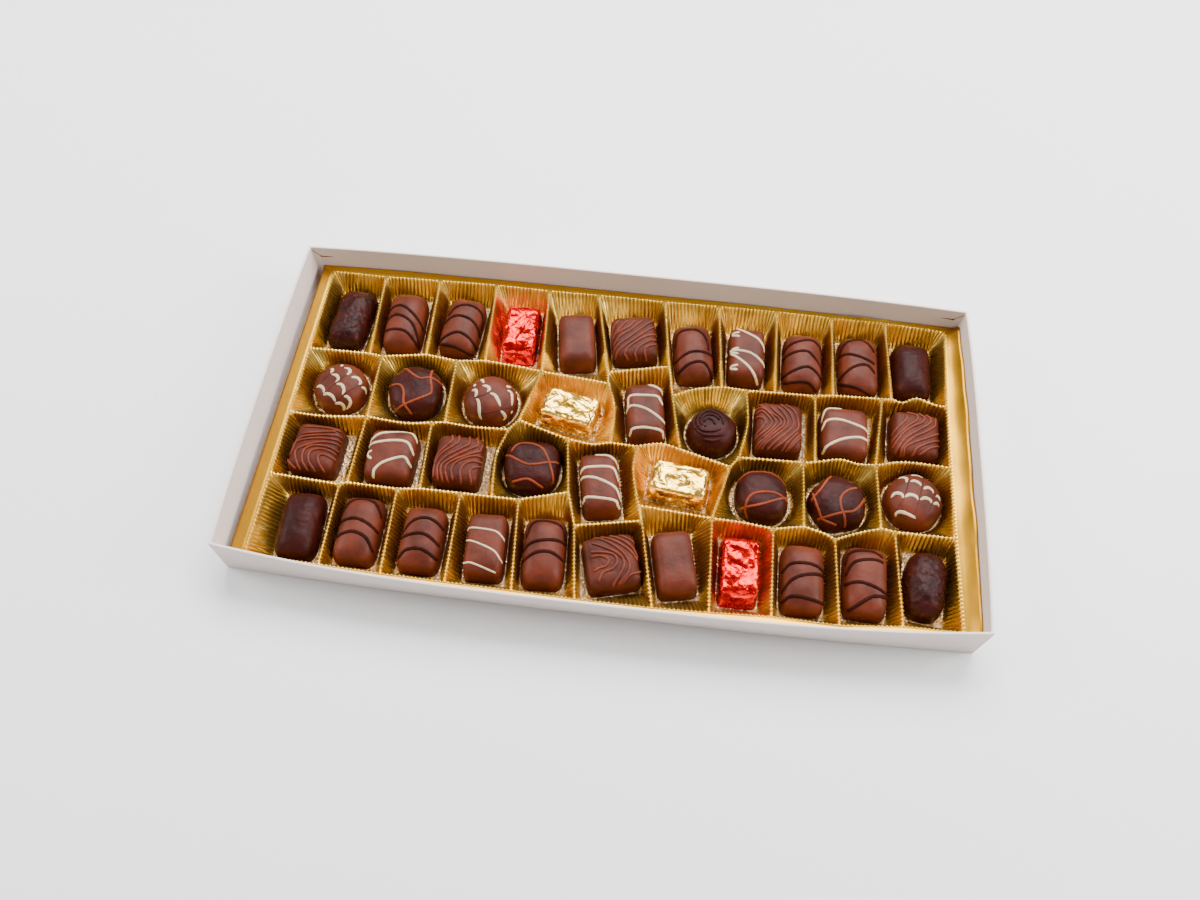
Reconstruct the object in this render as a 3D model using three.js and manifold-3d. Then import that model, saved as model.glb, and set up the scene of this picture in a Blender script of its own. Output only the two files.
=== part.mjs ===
// Open box of forty pralines: cardboard tray, gold pocket insert and the sweets in it.
// Millimetres, +Z up, base at z = 0; x runs along the box, y from front to back.
import * as THREE from 'three';
import * as BufferGeometryUtils from 'three/addons/utils/BufferGeometryUtils.js';
import Module from 'manifold-3d';

const wasm = await Module();
wasm.setup();

// Tray: one folded sheet, its walls sprung outwards between the corners.
const boxLength = 360;
const boxDepth = 180;
const boxHeight = 28;
const boardThickness = 1.2;
const baseBow = { front: 3, back: 1, side: 0.5 };
const rimBow = { front: 8, back: 3, side: 1.5 };
const bowPower = 3;
const longSteps = 8;
const shortSteps = 3;
const slot = { length: 7, height: 1.2, depth: 0.7, fromCorner: 5, z: 21, reachIn: 3 };
const centring = (rimBow.front - rimBow.back) / 2;

// Insert: a thin formed sheet that stands on its pocket floors.
const looseGap = 0.3;
const sheetThickness = 0.5;
const ridgeTop = 14;
const ridgeWidth = 1.5;
const floorTop = boardThickness + looseGap + sheetThickness;
const wallDraft = 2;
const cornerCut = 2.5;
const floorCut = 3.5;
const leastTurn = Math.PI / 36;
const sharpTurn = Math.PI / 5;
const leastSide = 6;
const halvedSide = 14;
const mostCutShare = 0.4;
const flangeClearance = 0.5;
const flangeLeftEdge = { back: -174.5, front: -176 };
const backDent = { x: 125, depth: 1.6, halfWidth: 16 };
const roundFloorRadius = 16.2;

// Ridge lines between the pockets, each from the left side to the right.
const backLine = [
  [-168, 85], [-138, 85], [-107.5, 86], [-75.5, 87], [-46, 86.5], [-18.5, 87],
  [18.5, 87], [48.5, 87.5], [80.5, 88], [110.5, 87.5], [139.5, 87.5], [172, 85.5],
];
const ridgeOne = [
  [-168, 32.5], [-135.5, 33], [-128.5, 32], [-105.5, 36], [-88.5, 34], [-73.5, 36],
  [-55, 34.5], [-42.5, 33], [-6.5, 30], [-7.5, 37], [24.5, 44.5], [27.5, 26.5],
  [39.5, 32], [53, 35], [66, 34.5], [81, 35], [102, 35.5], [111.5, 37],
  [137, 38], [142, 38.5], [148, 37], [155, 40.5], [165, 37.5], [170.5, 37.5],
];
const ridgeTwo = [
  [-168, -7.5], [-150, -8], [-128, -5.5], [-108, -7], [-94, -5], [-87.5, -4],
  [-72, -5], [-54, -4], [-50, 2], [-34, -3], [-23.5, -6], [-11, -7.5],
  [-1.5, -5.5], [12, -6], [24, -3], [34, -5], [60, -12], [64, -6],
  [96.5, -5], [102.5, -4], [115, -1], [124, -2.5], [133, -2], [148, 1.5], [170.5, 1],
];
const ridgeThree = [
  [-168, -43.5], [-132.5, -45.5], [-129, -44], [-103.5, -44.5], [-92.5, -43], [-72, -43],
  [-56.5, -43], [-43, -43], [-19, -36], [-14, -53.5], [18.5, -47], [16, -39],
  [52.5, -41.5], [68, -42], [82.5, -43.5], [97.5, -40.5], [107, -43], [112.5, -45.5],
  [123, -41], [135, -37], [141.5, -38], [170.5, -38],
];
const frontLine = [
  [-168.5, -88], [-132, -88.5], [-102, -89.5], [-71, -90], [-39, -90.5], [-9, -91],
  [27.5, -91], [54, -90], [83, -88.5], [114.5, -89], [144, -86], [171.5, -85.5],
];

// Cross ridges of each row: the point they leave on the line behind and meet in front.
const rows = [
  {
    behind: backLine,
    before: ridgeOne,
    from: [0, 1, 2, 3, 4, 5, 6, 7, 8, 9, 10, 11],
    to: [0, 1, 3, 5, 7, 9, 10, 13, 15, 17, 19, 23],
    bends: {},
  },
  {
    behind: ridgeOne,
    before: ridgeTwo,
    from: [0, 2, 4, 7, 8, 11, 14, 16, 18, 23],
    to: [0, 2, 5, 8, 12, 15, 17, 19, 22, 24],
    bends: { 4: [-1.5, 14], 6: [67.5, 14] },
  },
  {
    behind: ridgeTwo,
    before: ridgeThree,
    from: [0, 2, 4, 7, 10, 13, 16, 18, 22, 24],
    to: [0, 2, 4, 6, 8, 11, 12, 15, 19, 21],
    bends: { 3: [-58, -20], 5: [11.5, -20] },
  },
  {
    behind: ridgeThree,
    before: frontLine,
    from: [0, 1, 3, 5, 7, 9, 10, 12, 14, 17, 20, 21],
    to: [0, 1, 2, 3, 4, 5, 6, 7, 8, 9, 10, 11],
    bends: {},
  },
];

// Finishes: colour, metalness, roughness.
const finishes = {
  board: ['#cfc8c2', 0, 0.75],
  gold: ['#c99a3c', 0.85, 0.3],
  milk: ['#6f3426', 0, 0.45],
  dark: ['#3a1a18', 0, 0.4],
  redFoil: ['#c4101c', 0.8, 0.3],
  goldFoil: ['#dcae52', 0.85, 0.3],
};

// The moulds: sizes, and how square the section is (1 = half ellipse, towards 0 = box).
const moulds = {
  log: {
    width: 20.5, height: 12.5, section: 0.62, ends: 8, endWidth: 5, endHeight: 5.5,
    finish: 'milk', bandWidth: 1.8, bandLift: 0.6,
  },
  slab: {
    width: 19.5, height: 12.5, section: 0.28, ends: 2.5, endWidth: 1.4, endHeight: 1.6,
    finish: 'milk', bandWidth: 1.5, bandLift: 0.5,
  },
  plain: {
    width: 19.5, height: 12.5, section: 0.26, ends: 2.5, endWidth: 1.4, endHeight: 1.6,
    finish: 'milk', bandWidth: 0, bandLift: 0,
  },
  square: {
    width: 24.5, height: 12.3, section: 0.3, ends: 3, endWidth: 1.6, endHeight: 1.8,
    finish: 'milk', bandWidth: 1.6, bandLift: 0.5,
  },
  ridged: {
    width: 24.5, height: 11.8, section: 0.3, ends: 2.4, endWidth: 1.4, endHeight: 1.6,
    finish: 'milk', bandWidth: 3, bandLift: 0.8,
  },
  dark: {
    width: 20, height: 12.3, section: 0.6, ends: 6, endWidth: 3.5, endHeight: 4,
    finish: 'dark', bandWidth: 0, bandLift: 0,
  },
  bumpy: {
    width: 19.5, height: 12.3, section: 0.68, ends: 12, endWidth: 8.5, endHeight: 5,
    finish: 'dark', bandWidth: 7, bandLift: 0.5,
  },
  button: { radius: 14.5, height: 12.4, cornering: 0, finish: 'milk' },
  cushion: { radius: 14.4, height: 12.6, cornering: 0.045, finish: 'dark' },
  swirl: { radius: 13.6, height: 11.2, cornering: 0, finish: 'dark' },
  redFoil: { width: 18.8, length: 35, height: 12.8, finish: 'redFoil' },
  goldFoil: { width: 31, length: 19, height: 12.8, finish: 'goldFoil' },
};

const cushionCorners = 4;
const domeSteps = 14;
const leastStation = 0.35;
const stationShares = [0, 0.15, 0.45, 1];
const bandWidening = 0.5;
const rope = {
  turns: 2.4, pitch: 3.3, radius: 1.3, steps: 9, sides: 4, start: 0.9, sink: 0.2, fall: 0.02,
  tip: 0.4,
};
const foilCorner = 1.6;
const foilCrease = 0.02;

// Ridges of a ridged square: evenly spaced, sloping across it and arched in the middle.
const ridgeSpacing = 3.4;
const ridgeCount = 7;
const ridges = (slope, arch) => Array.from({ length: ridgeCount }, (_, i) => {
  return [(i - (ridgeCount - 1) / 2) * ridgeSpacing, slope, arch];
});

// What lies in each pocket: mould, middle, turn in degrees, length along the mould, and
// its raised bands as [place along the piece, slope across it].
const contents = [
  ['lumpy_dark', 'bumpy', -152.4, 58.5, -4, 37.5, [[-5, 0.1], [5, 0.1]]],
  ['milk_log', 'log', -122.5, 59, 2, 37, [[5.5, -0.35], [0, -0.35], [-10, -0.25]]],
  ['milk_log', 'log', -90.8, 60, -3, 36, [[10, 0], [1.5, -0.2], [-8.5, -0.1], [-14, -0.1]]],
  ['red_foil', 'redFoil', -57.8, 60, 1, 0, []],
  ['plain_milk', 'plain', -26.9, 58, 9, 34, []],
  ['ridged_milk', 'ridged', 4, 62.5, 10, 28, ridges(0.4, 2.2)],
  ['milk_log', 'log', 36.8, 58.2, 8, 35.5, [[11, -0.15], [-3.5, 0.2], [-9.5, -0.15]]],
  ['zigzag_milk', 'slab', 65.5, 59.5, 1, 34, [[10.5, -0.45], [-1.5, -0.3], [-9, -0.5]]],
  ['milk_log', 'log', 96, 59.5, 0, 35, [[10.5, 0.1], [3, -0.2], [-7.5, 0.1], [-14, -0.1]]],
  ['milk_log', 'log', 126, 60.5, 1, 36, [[14, 0.1], [4, -0.3], [-4.5, 0.15], [-14, -0.1]]],
  ['smooth_dark', 'dark', 154.6, 60.5, 0, 35, []],
  ['feathered_round', 'button', -147.5, 13.5, 0, 0, []],
  ['lined_dark', 'cushion', -107.6, 15.5, 8, 30.5, []],
  ['netted_round', 'button', -67.5, 15.5, 0, 0, []],
  ['gold_foil', 'goldFoil', -25, 13.5, -11, 0, []],
  ['striped_milk', 'slab', 14.3, 17.3, 9, 34, [[7, 0], [-1.5, -0.35], [-13.5, -0.05]]],
  ['swirled_dark', 'swirl', 50, 11, 0, 0, []],
  ['ridged_milk', 'ridged', 84, 15.5, 0, 29, ridges(0.4, -1.5)],
  ['striped_square', 'square', 117.9, 17, 0, 29, [[4.5, 0.05], [-7, 0.4]]],
  ['ridged_milk', 'ridged', 154.2, 19.4, -3, 27, ridges(0.4, 1)],
  ['ridged_milk', 'ridged', -150, -25.6, -2, 27.5, ridges(0.15, 3)],
  ['striped_square', 'square', -111.5, -24.9, 0, 29, [[11, 0.2], [6, 0], [-5, 0.3]]],
  ['ridged_milk', 'ridged', -77, -23.5, 0, 27.5, ridges(0.4, 1.5)],
  ['lined_dark', 'cushion', -39.9, -21.5, 4, 0, []],
  ['striped_milk', 'slab', -4.2, -27.5, 11, 34, [[7.5, -0.1], [-0.5, -0.35], [-11, -0.15]]],
  ['gold_foil', 'goldFoil', 35, -22, -7, 0, []],
  ['lined_dark', 'cushion', 77, -24, 40, 0, []],
  ['lined_dark', 'cushion', 114.8, -22.8, 16, 0, []],
  ['feathered_round', 'button', 152.8, -17.2, 0, 30, []],
  ['smooth_dark', 'dark', -148, -67, 2, 35, []],
  ['milk_log', 'log', -118.5, -66.5, 0, 35, [[14, 0], [2.5, -0.1], [-4, -0.15]]],
  ['milk_log', 'log', -87, -67.5, 0, 34, [[8.5, 0], [-1, -0.15], [-8, 0]]],
  ['striped_milk', 'slab', -55.5, -67.5, 3, 34, [[6.5, -0.2], [-2.5, -0.45], [-13, -0.15]]],
  ['milk_log', 'log', -27, -67.2, 3, 36, [[14.5, 0.05], [3.5, 0.15], [-2.5, 0.05]]],
  ['ridged_milk', 'ridged', 6, -69.2, 16, 27.5, ridges(-0.2, 2.5)],
  ['plain_milk', 'plain', 36.3, -65.4, 12, 33.5, []],
  ['red_foil', 'redFoil', 67.5, -65, 0, 0, []],
  ['milk_log', 'log', 98, -66, 0, 35, [[6, 0.1], [-1.5, 0.4], [-11, 0]]],
  ['milk_log', 'log', 128.1, -64, -2, 36, [[14.5, 0.05], [9.5, 0.15], [-4, -0.15], [-10, 0.3]]],
  ['lumpy_dark', 'bumpy', 156.9, -61.7, -8, 35, [[-5, 0.1], [5, 0.1]]],
];

const group = new THREE.Group();

function seededRandom(seed) {
  let state = seed;
  return () => {
    state = (state * 16807) % 2147483647;
    return state / 2147483647 - 0.5;
  };
}

function bow(along, half, amount) {
  return amount * (1 - Math.abs(along / half) ** bowPower);
}

// One closed level of the box wall, anticlockwise from the front left corner.
function wallLevel(z, inset) {
  const rise = z / boxHeight;
  const spring = (side) => baseBow[side] + (rimBow[side] - baseBow[side]) * rise;
  const halfX = boxLength / 2;
  const halfY = boxDepth / 2;
  const insideX = halfX - inset;
  const insideY = halfY - inset;
  const points = [];
  for (let i = 0; i < longSteps; i++) {
    const x = insideX * (2 * i / longSteps - 1);
    points.push([x, -insideY - bow(x, insideX, spring('front')), z]);
  }
  for (let i = 0; i < shortSteps; i++) {
    const y = insideY * (2 * i / shortSteps - 1);
    points.push([insideX + bow(y, insideY, spring('side')), y, z]);
  }
  for (let i = 0; i < longSteps; i++) {
    const x = insideX * (1 - 2 * i / longSteps);
    points.push([x, insideY + bow(x, insideX, spring('back')), z]);
  }
  for (let i = 0; i < shortSteps; i++) {
    const y = insideY * (1 - 2 * i / shortSteps);
    points.push([-insideX - bow(y, insideY, spring('side')), y, z]);
  }
  return points;
}

// Solid skinned over closed levels of equal point counts, listed from the bottom up.
function loft(levels) {
  const count = levels[0].length;
  const positions = levels.flat(2);
  const index = [];
  for (let k = 0; k + 1 < levels.length; k++) {
    for (let i = 0; i < count; i++) {
      const a = k * count + i;
      const b = k * count + (i + 1) % count;
      index.push(a, b, b + count, a, b + count, a + count);
    }
  }
  const flat = (level) => level.map((p) => new THREE.Vector2(p[0], p[1]));
  const top = (levels.length - 1) * count;
  for (const [a, b, c] of THREE.ShapeUtils.triangulateShape(flat(levels[0]), [])) {
    index.push(a, c, b);
  }
  for (const [a, b, c] of THREE.ShapeUtils.triangulateShape(flat(levels.at(-1)), [])) {
    index.push(top + a, top + b, top + c);
  }
  const geometry = new THREE.BufferGeometry();
  geometry.setAttribute('position', new THREE.Float32BufferAttribute(positions, 3));
  geometry.setIndex(index);
  return geometry;
}

function toManifold(geometry) {
  const clean = geometry.clone();
  clean.deleteAttribute('normal');
  clean.deleteAttribute('uv');
  const merged = BufferGeometryUtils.mergeVertices(clean, 1e-5);
  return new wasm.Manifold(new wasm.Mesh({
    numProp: 3,
    vertProperties: new Float32Array(merged.attributes.position.array),
    triVerts: new Uint32Array(merged.index.array),
  }));
}

function fromManifold(solid) {
  const mesh = solid.getMesh();
  const geometry = new THREE.BufferGeometry();
  const points = new THREE.Float32BufferAttribute(mesh.vertProperties, mesh.numProp);
  geometry.setAttribute('position', points);
  geometry.setIndex(Array.from(mesh.triVerts));
  return geometry;
}

function addPiece(name, geometry, finish) {
  const [color, metalness, roughness] = finishes[finish];
  const material = new THREE.MeshStandardMaterial({ color, metalness, roughness });
  const mesh = new THREE.Mesh(geometry, material);
  geometry.computeVertexNormals();
  mesh.name = name;
  group.add(mesh);
  return mesh;
}

function makeTray() {
  const outerLevels = [0, ridgeTop, boxHeight];
  const innerLevels = [boardThickness, ridgeTop, boxHeight + 1];
  const outside = toManifold(loft(outerLevels.map((z) => wallLevel(z, 0))));
  const hollow = toManifold(loft(innerLevels.map((z) => wallLevel(z, boardThickness))));
  let tray = outside.subtract(hollow);
  for (const side of [-1, 1]) {
    for (const end of [-1, 1]) {
      const x = end * (boxLength / 2 - slot.fromCorner - slot.length / 2);
      const innerFace = boxDepth / 2 - boardThickness;
      const cut = new THREE.BoxGeometry(slot.length, slot.reachIn + slot.depth, slot.height);
      const spring = bow(x, boxLength / 2, side < 0 ? rimBow.front : rimBow.back);
      const face = innerFace + spring * slot.z / boxHeight;
      cut.translate(x, side * (face + (slot.depth - slot.reachIn) / 2), slot.z);
      tray = tray.subtract(toManifold(cut));
    }
  }
  return fromManifold(tray);
}

// Outlines of the pockets, anticlockwise, as the ridge lines bound them.
function pocketOutlines() {
  const outlines = [];
  for (const row of rows) {
    for (let k = 0; k + 1 < row.from.length; k++) {
      const behind = row.behind.slice(row.from[k], row.from[k + 1] + 1);
      const before = row.before.slice(row.to[k], row.to[k + 1] + 1);
      const left = row.bends[k] ? [row.bends[k]] : [];
      const right = row.bends[k + 1] ? [row.bends[k + 1]] : [];
      outlines.push([...before, ...right, ...behind.reverse(), ...left]);
    }
  }
  return outlines;
}

// Outline moved inwards, each side parallel to itself.
function insetOutline(points, distance) {
  const count = points.length;
  const normal = (i) => {
    const [ax, ay] = points[i];
    const [bx, by] = points[(i + 1) % count];
    const size = Math.hypot(bx - ax, by - ay);
    return [-(by - ay) / size, (bx - ax) / size];
  };
  return points.map(([x, y], i) => {
    const [ux, uy] = normal((i + count - 1) % count);
    const [vx, vy] = normal(i);
    const share = distance / (1 + ux * vx + uy * vy);
    return [x + (ux + vx) * share, y + (uy + vy) * share];
  });
}

// Angle by which an outline turns at one of its points.
function turnAt(points, i) {
  const count = points.length;
  const [ax, ay] = points[(i + count - 1) % count];
  const [x, y] = points[i];
  const [bx, by] = points[(i + 1) % count];
  const cross = (x - ax) * (by - y) - (y - ay) * (bx - x);
  const dot = (x - ax) * (bx - x) + (y - ay) * (by - y);
  return Math.abs(Math.atan2(cross, dot));
}

// Outline without its flattest points, and with one point where two crowd a corner.
function plainOutline(points) {
  const apart = (a, b) => Math.hypot(a[0] - b[0], a[1] - b[1]);
  const result = [...points];
  for (let i = result.length - 1; i >= 0; i--) {
    const count = result.length;
    const near = [(i + 1) % count, (i + count - 1) % count].some((k) => {
      return apart(result[i], result[k]) < leastSide && turnAt(result, k) > turnAt(result, i);
    });
    if (near || turnAt(result, i) < leastTurn) {
      result.splice(i, 1);
    }
  }
  return result;
}

function halveSides(points) {
  return points.flatMap((point, i) => {
    const [x, y] = point;
    const [bx, by] = points[(i + 1) % points.length];
    return Math.hypot(bx - x, by - y) > halvedSide ? [point, [(x + bx) / 2, (y + by) / 2]] : [point];
  });
}

// Outline with its sharp corners cut across.
function cutCorners(points, cut) {
  const count = points.length;
  return points.flatMap((point, i) => {
    if (turnAt(points, i) < sharpTurn) {
      return [point];
    }
    return [points[(i + count - 1) % count], points[(i + 1) % count]].map((other) => {
      const size = Math.hypot(other[0] - point[0], other[1] - point[1]);
      const share = Math.min(cut, size * mostCutShare) / size;
      return [point[0] + (other[0] - point[0]) * share, point[1] + (other[1] - point[1]) * share];
    });
  });
}

// Solid that fills a pocket, or with a skin the sheet round it.
function pocketSolid(outline, middle, isRound, skin) {
  const plain = plainOutline(outline);
  const base = isRound ? halveSides(plain) : plain;
  const top = cutCorners(insetOutline(base, ridgeWidth / 2 - skin), cornerCut);
  const drafted = cutCorners(insetOutline(base, ridgeWidth / 2 + wallDraft - skin), floorCut);
  const floor = drafted.map(([x, y]) => {
    const size = Math.hypot(x - middle[0], y - middle[1]);
    const share = isRound ? Math.min(1, (roundFloorRadius + skin) / size) : 1;
    return [middle[0] + (x - middle[0]) * share, middle[1] + (y - middle[1]) * share];
  });
  const topZ = skin > 0 ? ridgeTop - sheetThickness / 2 : ridgeTop + 1;
  const floorZ = floorTop - skin;
  const share = skin > 0 ? 1 : (topZ - floorZ) / (ridgeTop - floorTop);
  const raised = top.map(([x, y], i) => {
    const [fx, fy] = floor[i];
    return [fx + (x - fx) * share, fy + (y - fy) * share, topZ];
  });
  return toManifold(loft([floor.map(([x, y]) => [x, y, floorZ]), raised]));
}

function flangeOutline() {
  const wall = wallLevel(ridgeTop, boardThickness + flangeClearance);
  return wall.map(([x, y]) => {
    const share = (y + boxDepth / 2) / boxDepth;
    const leftEdge = flangeLeftEdge.front + (flangeLeftEdge.back - flangeLeftEdge.front) * share;
    const near = Math.max(0, 1 - Math.abs(x - backDent.x) / backDent.halfWidth);
    const dent = y > 0 ? backDent.depth * near : 0;
    return [Math.max(x, leftEdge), y - dent];
  });
}

function makeInsert(fillings) {
  const outline = flangeOutline();
  const level = (z) => outline.map(([x, y]) => [x, y, z]);
  const solids = [toManifold(loft([level(ridgeTop - sheetThickness), level(ridgeTop)]))];
  const hollows = [];
  pocketOutlines().forEach((pocket, i) => {
    const { middle, isRound } = fillings[i];
    solids.push(pocketSolid(pocket, middle, isRound, sheetThickness));
    hollows.push(pocketSolid(pocket, middle, isRound, 0));
  });
  const sheet = wasm.Manifold.union(solids).subtract(wasm.Manifold.union(hollows));
  return fromManifold(sheet);
}

// How much a section has shrunk at a distance in from the end of a bar.
function endShrink(distance, ends) {
  const share = Math.min(1, distance / ends);
  return 1 - Math.sqrt(1 - (1 - share) ** 2);
}

// Places along a bar where its section is set: rounded ends and three to a raised band.
function barStations(mould, half, bands) {
  const stations = [];
  for (const side of [-1, 1]) {
    for (const share of stationShares) {
      stations.push({ y: side * (half - share * mould.ends), lift: 0, slope: 0, arch: 0 });
    }
  }
  const spread = mould.bandWidth / 2;
  for (const [y, slope, arch = 0] of bands) {
    stations.push({ y: y - spread, lift: 0, slope, arch });
    stations.push({ y, lift: mould.bandLift, slope, arch });
    stations.push({ y: y + spread, lift: 0, slope, arch });
  }
  return stations
    .filter((s) => Math.abs(s.y) <= half)
    .sort((a, b) => a.y - b.y || b.lift - a.lift)
    .filter((s, i, all) => i === 0 || s.y - all[i - 1].y > leastStation || s.lift > 0);
}

// Bar lying along y: sections rounded off at both ends, with raised bands across it.
function makeBar(mould, length, bands, seed) {
  const random = seededRandom(seed);
  const unevenness = mould.finish === 'dark' ? 0.05 : 0.012;
  const sides = bands.length === ridgeCount ? 7 : 6;
  const half = length / 2;
  return skinSections(barStations(mould, half, bands).map((station) => {
    const shrink = endShrink(half - Math.abs(station.y), mould.ends);
    const width = mould.width / 2 - mould.endWidth * shrink;
    const height = mould.height - mould.endHeight * shrink;
    const wobble = 1 + unevenness * random();
    const fade = 1 - (station.y / half) ** 2;
    return Array.from({ length: sides + 1 }, (_, i) => {
      const angle = Math.PI * i / sides;
      const across = Math.sign(Math.cos(angle)) * Math.abs(Math.cos(angle)) ** mould.section;
      const up = Math.sin(angle) ** mould.section;
      const x = across * (width + station.lift * bandWidening) * wobble;
      const arched = station.arch * (1 - 2 * across ** 2);
      const y = station.y + (station.slope * x + arched) * fade;
      return [x, y, i % sides === 0 ? 0 : up * (height + station.lift)];
    });
  }));
}

// Solid skinned over upright sections listed from front to back, its ends capped flat.
function skinSections(sections) {
  const count = sections[0].length;
  const index = [];
  for (let k = 0; k + 1 < sections.length; k++) {
    for (let i = 0; i < count; i++) {
      const a = k * count + i;
      const b = k * count + (i + 1) % count;
      index.push(a, b + count, b, a, a + count, b + count);
    }
  }
  const last = (sections.length - 1) * count;
  for (let i = 1; i + 1 < count; i++) {
    index.push(0, i, i + 1);
    index.push(last, last + i + 1, last + i);
  }
  const geometry = new THREE.BufferGeometry();
  geometry.setAttribute('position', new THREE.Float32BufferAttribute(sections.flat(2), 3));
  geometry.setIndex(index);
  return geometry;
}

// Round praline with a soft top; cornering pushes its outline towards a rounded square.
function makeDome(mould, length) {
  const stretch = length ? length / (2 * mould.radius) : 1;
  const profile = [[0.93, 0], [1, 0.1], [0.97, 0.5], [0.86, 0.78], [0.66, 0.94], [0.34, 1]];
  return loft(profile.map(([reach, rise]) => {
    const ring = [];
    for (let i = 0; i < domeSteps; i++) {
      const angle = 2 * Math.PI * i / domeSteps;
      const radius = mould.radius * reach * (1 - mould.cornering * Math.cos(cushionCorners * angle));
      const [x, y] = [radius * Math.cos(angle), radius * Math.sin(angle) * stretch];
      ring.push([x, y, mould.height * rise]);
    }
    return ring;
  }));
}

// Dome with a rope of chocolate wound outwards over its top.
function makeSwirl(mould) {
  const total = Math.round(rope.turns * rope.steps);
  const sections = [];
  for (let k = 0; k <= total; k++) {
    const angle = 2 * Math.PI * k / rope.steps;
    const reach = rope.start + rope.pitch * k / rope.steps;
    const z = mould.height - rope.sink - rope.fall * reach ** 2;
    const thickness = rope.radius * (k === 0 || k === total ? rope.tip : 1);
    const ring = [];
    for (let i = 0; i < rope.sides; i++) {
      const around = 2 * Math.PI * i / rope.sides + Math.PI / 2;
      const radius = reach + thickness * Math.cos(around);
      const height = z + thickness * Math.sin(around);
      ring.push([radius * Math.cos(angle), radius * Math.sin(angle), height]);
    }
    sections.push(ring);
  }
  return fromManifold(toManifold(makeDome(mould, 0)).add(toManifold(skinSections(sections))));
}

// Wrapped block: a rectangle with soft creased edges.
function makeFoilBlock(mould, seed) {
  const random = seededRandom(seed);
  const halfX = mould.width / 2;
  const halfY = mould.length / 2;
  const shape = [[0.97, 0], [1, 0.12], [0.98, 0.7], [0.93, 0.95], [0.84, 1]];
  return loft(shape.map(([reach, rise]) => {
    const ring = [];
    for (const [sx, sy] of [[-1, -1], [1, -1], [1, 1], [-1, 1]]) {
      const across = [(halfX - foilCorner) * sx, halfY * sy];
      const along = [halfX * sx, (halfY - foilCorner) * sy];
      const pair = sx * sy > 0 ? [along, across] : [across, along];
      const middle = sx * sy > 0 ? [0, halfY * sy] : [halfX * sx, 0];
      for (const [x, y] of [...pair, middle]) {
        const crease = 1 + foilCrease * random();
        ring.push([x * reach * crease, y * reach * crease, mould.height * rise]);
      }
    }
    return ring;
  }));
}

function makePraline(mouldName, length, bands, seed) {
  const mould = moulds[mouldName];
  if (mouldName === 'swirl') {
    return makeSwirl(mould);
  }
  if (mould.radius) {
    return makeDome(mould, length);
  }
  if (mould.length) {
    return makeFoilBlock(mould, seed);
  }
  return makeBar(mould, length, bands, seed);
}

const fillings = contents.map(([, mouldName, x, y]) => {
  return { middle: [x, y], isRound: Boolean(moulds[mouldName].radius) };
});

const tray = addPiece('tray', makeTray(), 'board');
const insert = addPiece('insert', makeInsert(fillings), 'gold');
tray.position.y = centring;
insert.position.y = centring;

contents.forEach(([label, mouldName, x, y, turn, length, bands], i) => {
  const name = `praline_${String(i + 1).padStart(2, '0')}_${label}`;
  const geometry = makePraline(mouldName, length, bands, 101 + 17 * i);
  const piece = addPiece(name, geometry, moulds[mouldName].finish);
  piece.position.set(x, y + centring, floorTop + looseGap);
  piece.rotation.z = THREE.MathUtils.degToRad(turn);
});

export default group;
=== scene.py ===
import math

import bmesh
import bpy
import numpy as np
from mathutils import Matrix, Vector, noise


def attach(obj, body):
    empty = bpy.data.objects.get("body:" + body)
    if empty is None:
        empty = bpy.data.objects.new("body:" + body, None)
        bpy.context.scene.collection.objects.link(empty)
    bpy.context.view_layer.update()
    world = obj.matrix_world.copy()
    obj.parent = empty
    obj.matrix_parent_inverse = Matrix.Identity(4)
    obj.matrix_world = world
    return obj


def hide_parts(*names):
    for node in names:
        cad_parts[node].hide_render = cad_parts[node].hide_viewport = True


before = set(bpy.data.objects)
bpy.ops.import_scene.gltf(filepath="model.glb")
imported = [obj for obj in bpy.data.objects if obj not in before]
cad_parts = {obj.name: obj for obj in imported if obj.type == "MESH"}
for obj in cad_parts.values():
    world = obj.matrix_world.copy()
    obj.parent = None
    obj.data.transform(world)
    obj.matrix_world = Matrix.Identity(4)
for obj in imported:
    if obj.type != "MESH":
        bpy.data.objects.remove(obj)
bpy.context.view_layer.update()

metre = 0.001  # meshes are drawn in millimetres
centring = 2.5  # the layout is moved back by this, so that the box is centred
sweetBase = 2.3  # height of the sweets' undersides


class Value:
    # a node's output that can be used in sums
    def __init__(self, shader, socket):
        self.shader = shader
        self.socket = socket

    def combine(self, operation, first, second):
        return self.shader.node("ShaderNodeMath", {"operation": operation}, {0: first, 1: second})

    def __add__(self, other):
        return self.combine("ADD", self, other)

    def __radd__(self, other):
        return self.combine("ADD", other, self)

    def __sub__(self, other):
        return self.combine("SUBTRACT", self, other)

    def __rsub__(self, other):
        return self.combine("SUBTRACT", other, self)

    def __mul__(self, other):
        return self.combine("MULTIPLY", self, other)

    def __rmul__(self, other):
        return self.combine("MULTIPLY", other, self)

    def __gt__(self, other):
        return self.combine("GREATER_THAN", self, other)

    def __lt__(self, other):
        return self.combine("LESS_THAN", self, other)

    def __abs__(self):
        return self.combine("ABSOLUTE", self, 0)


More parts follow.
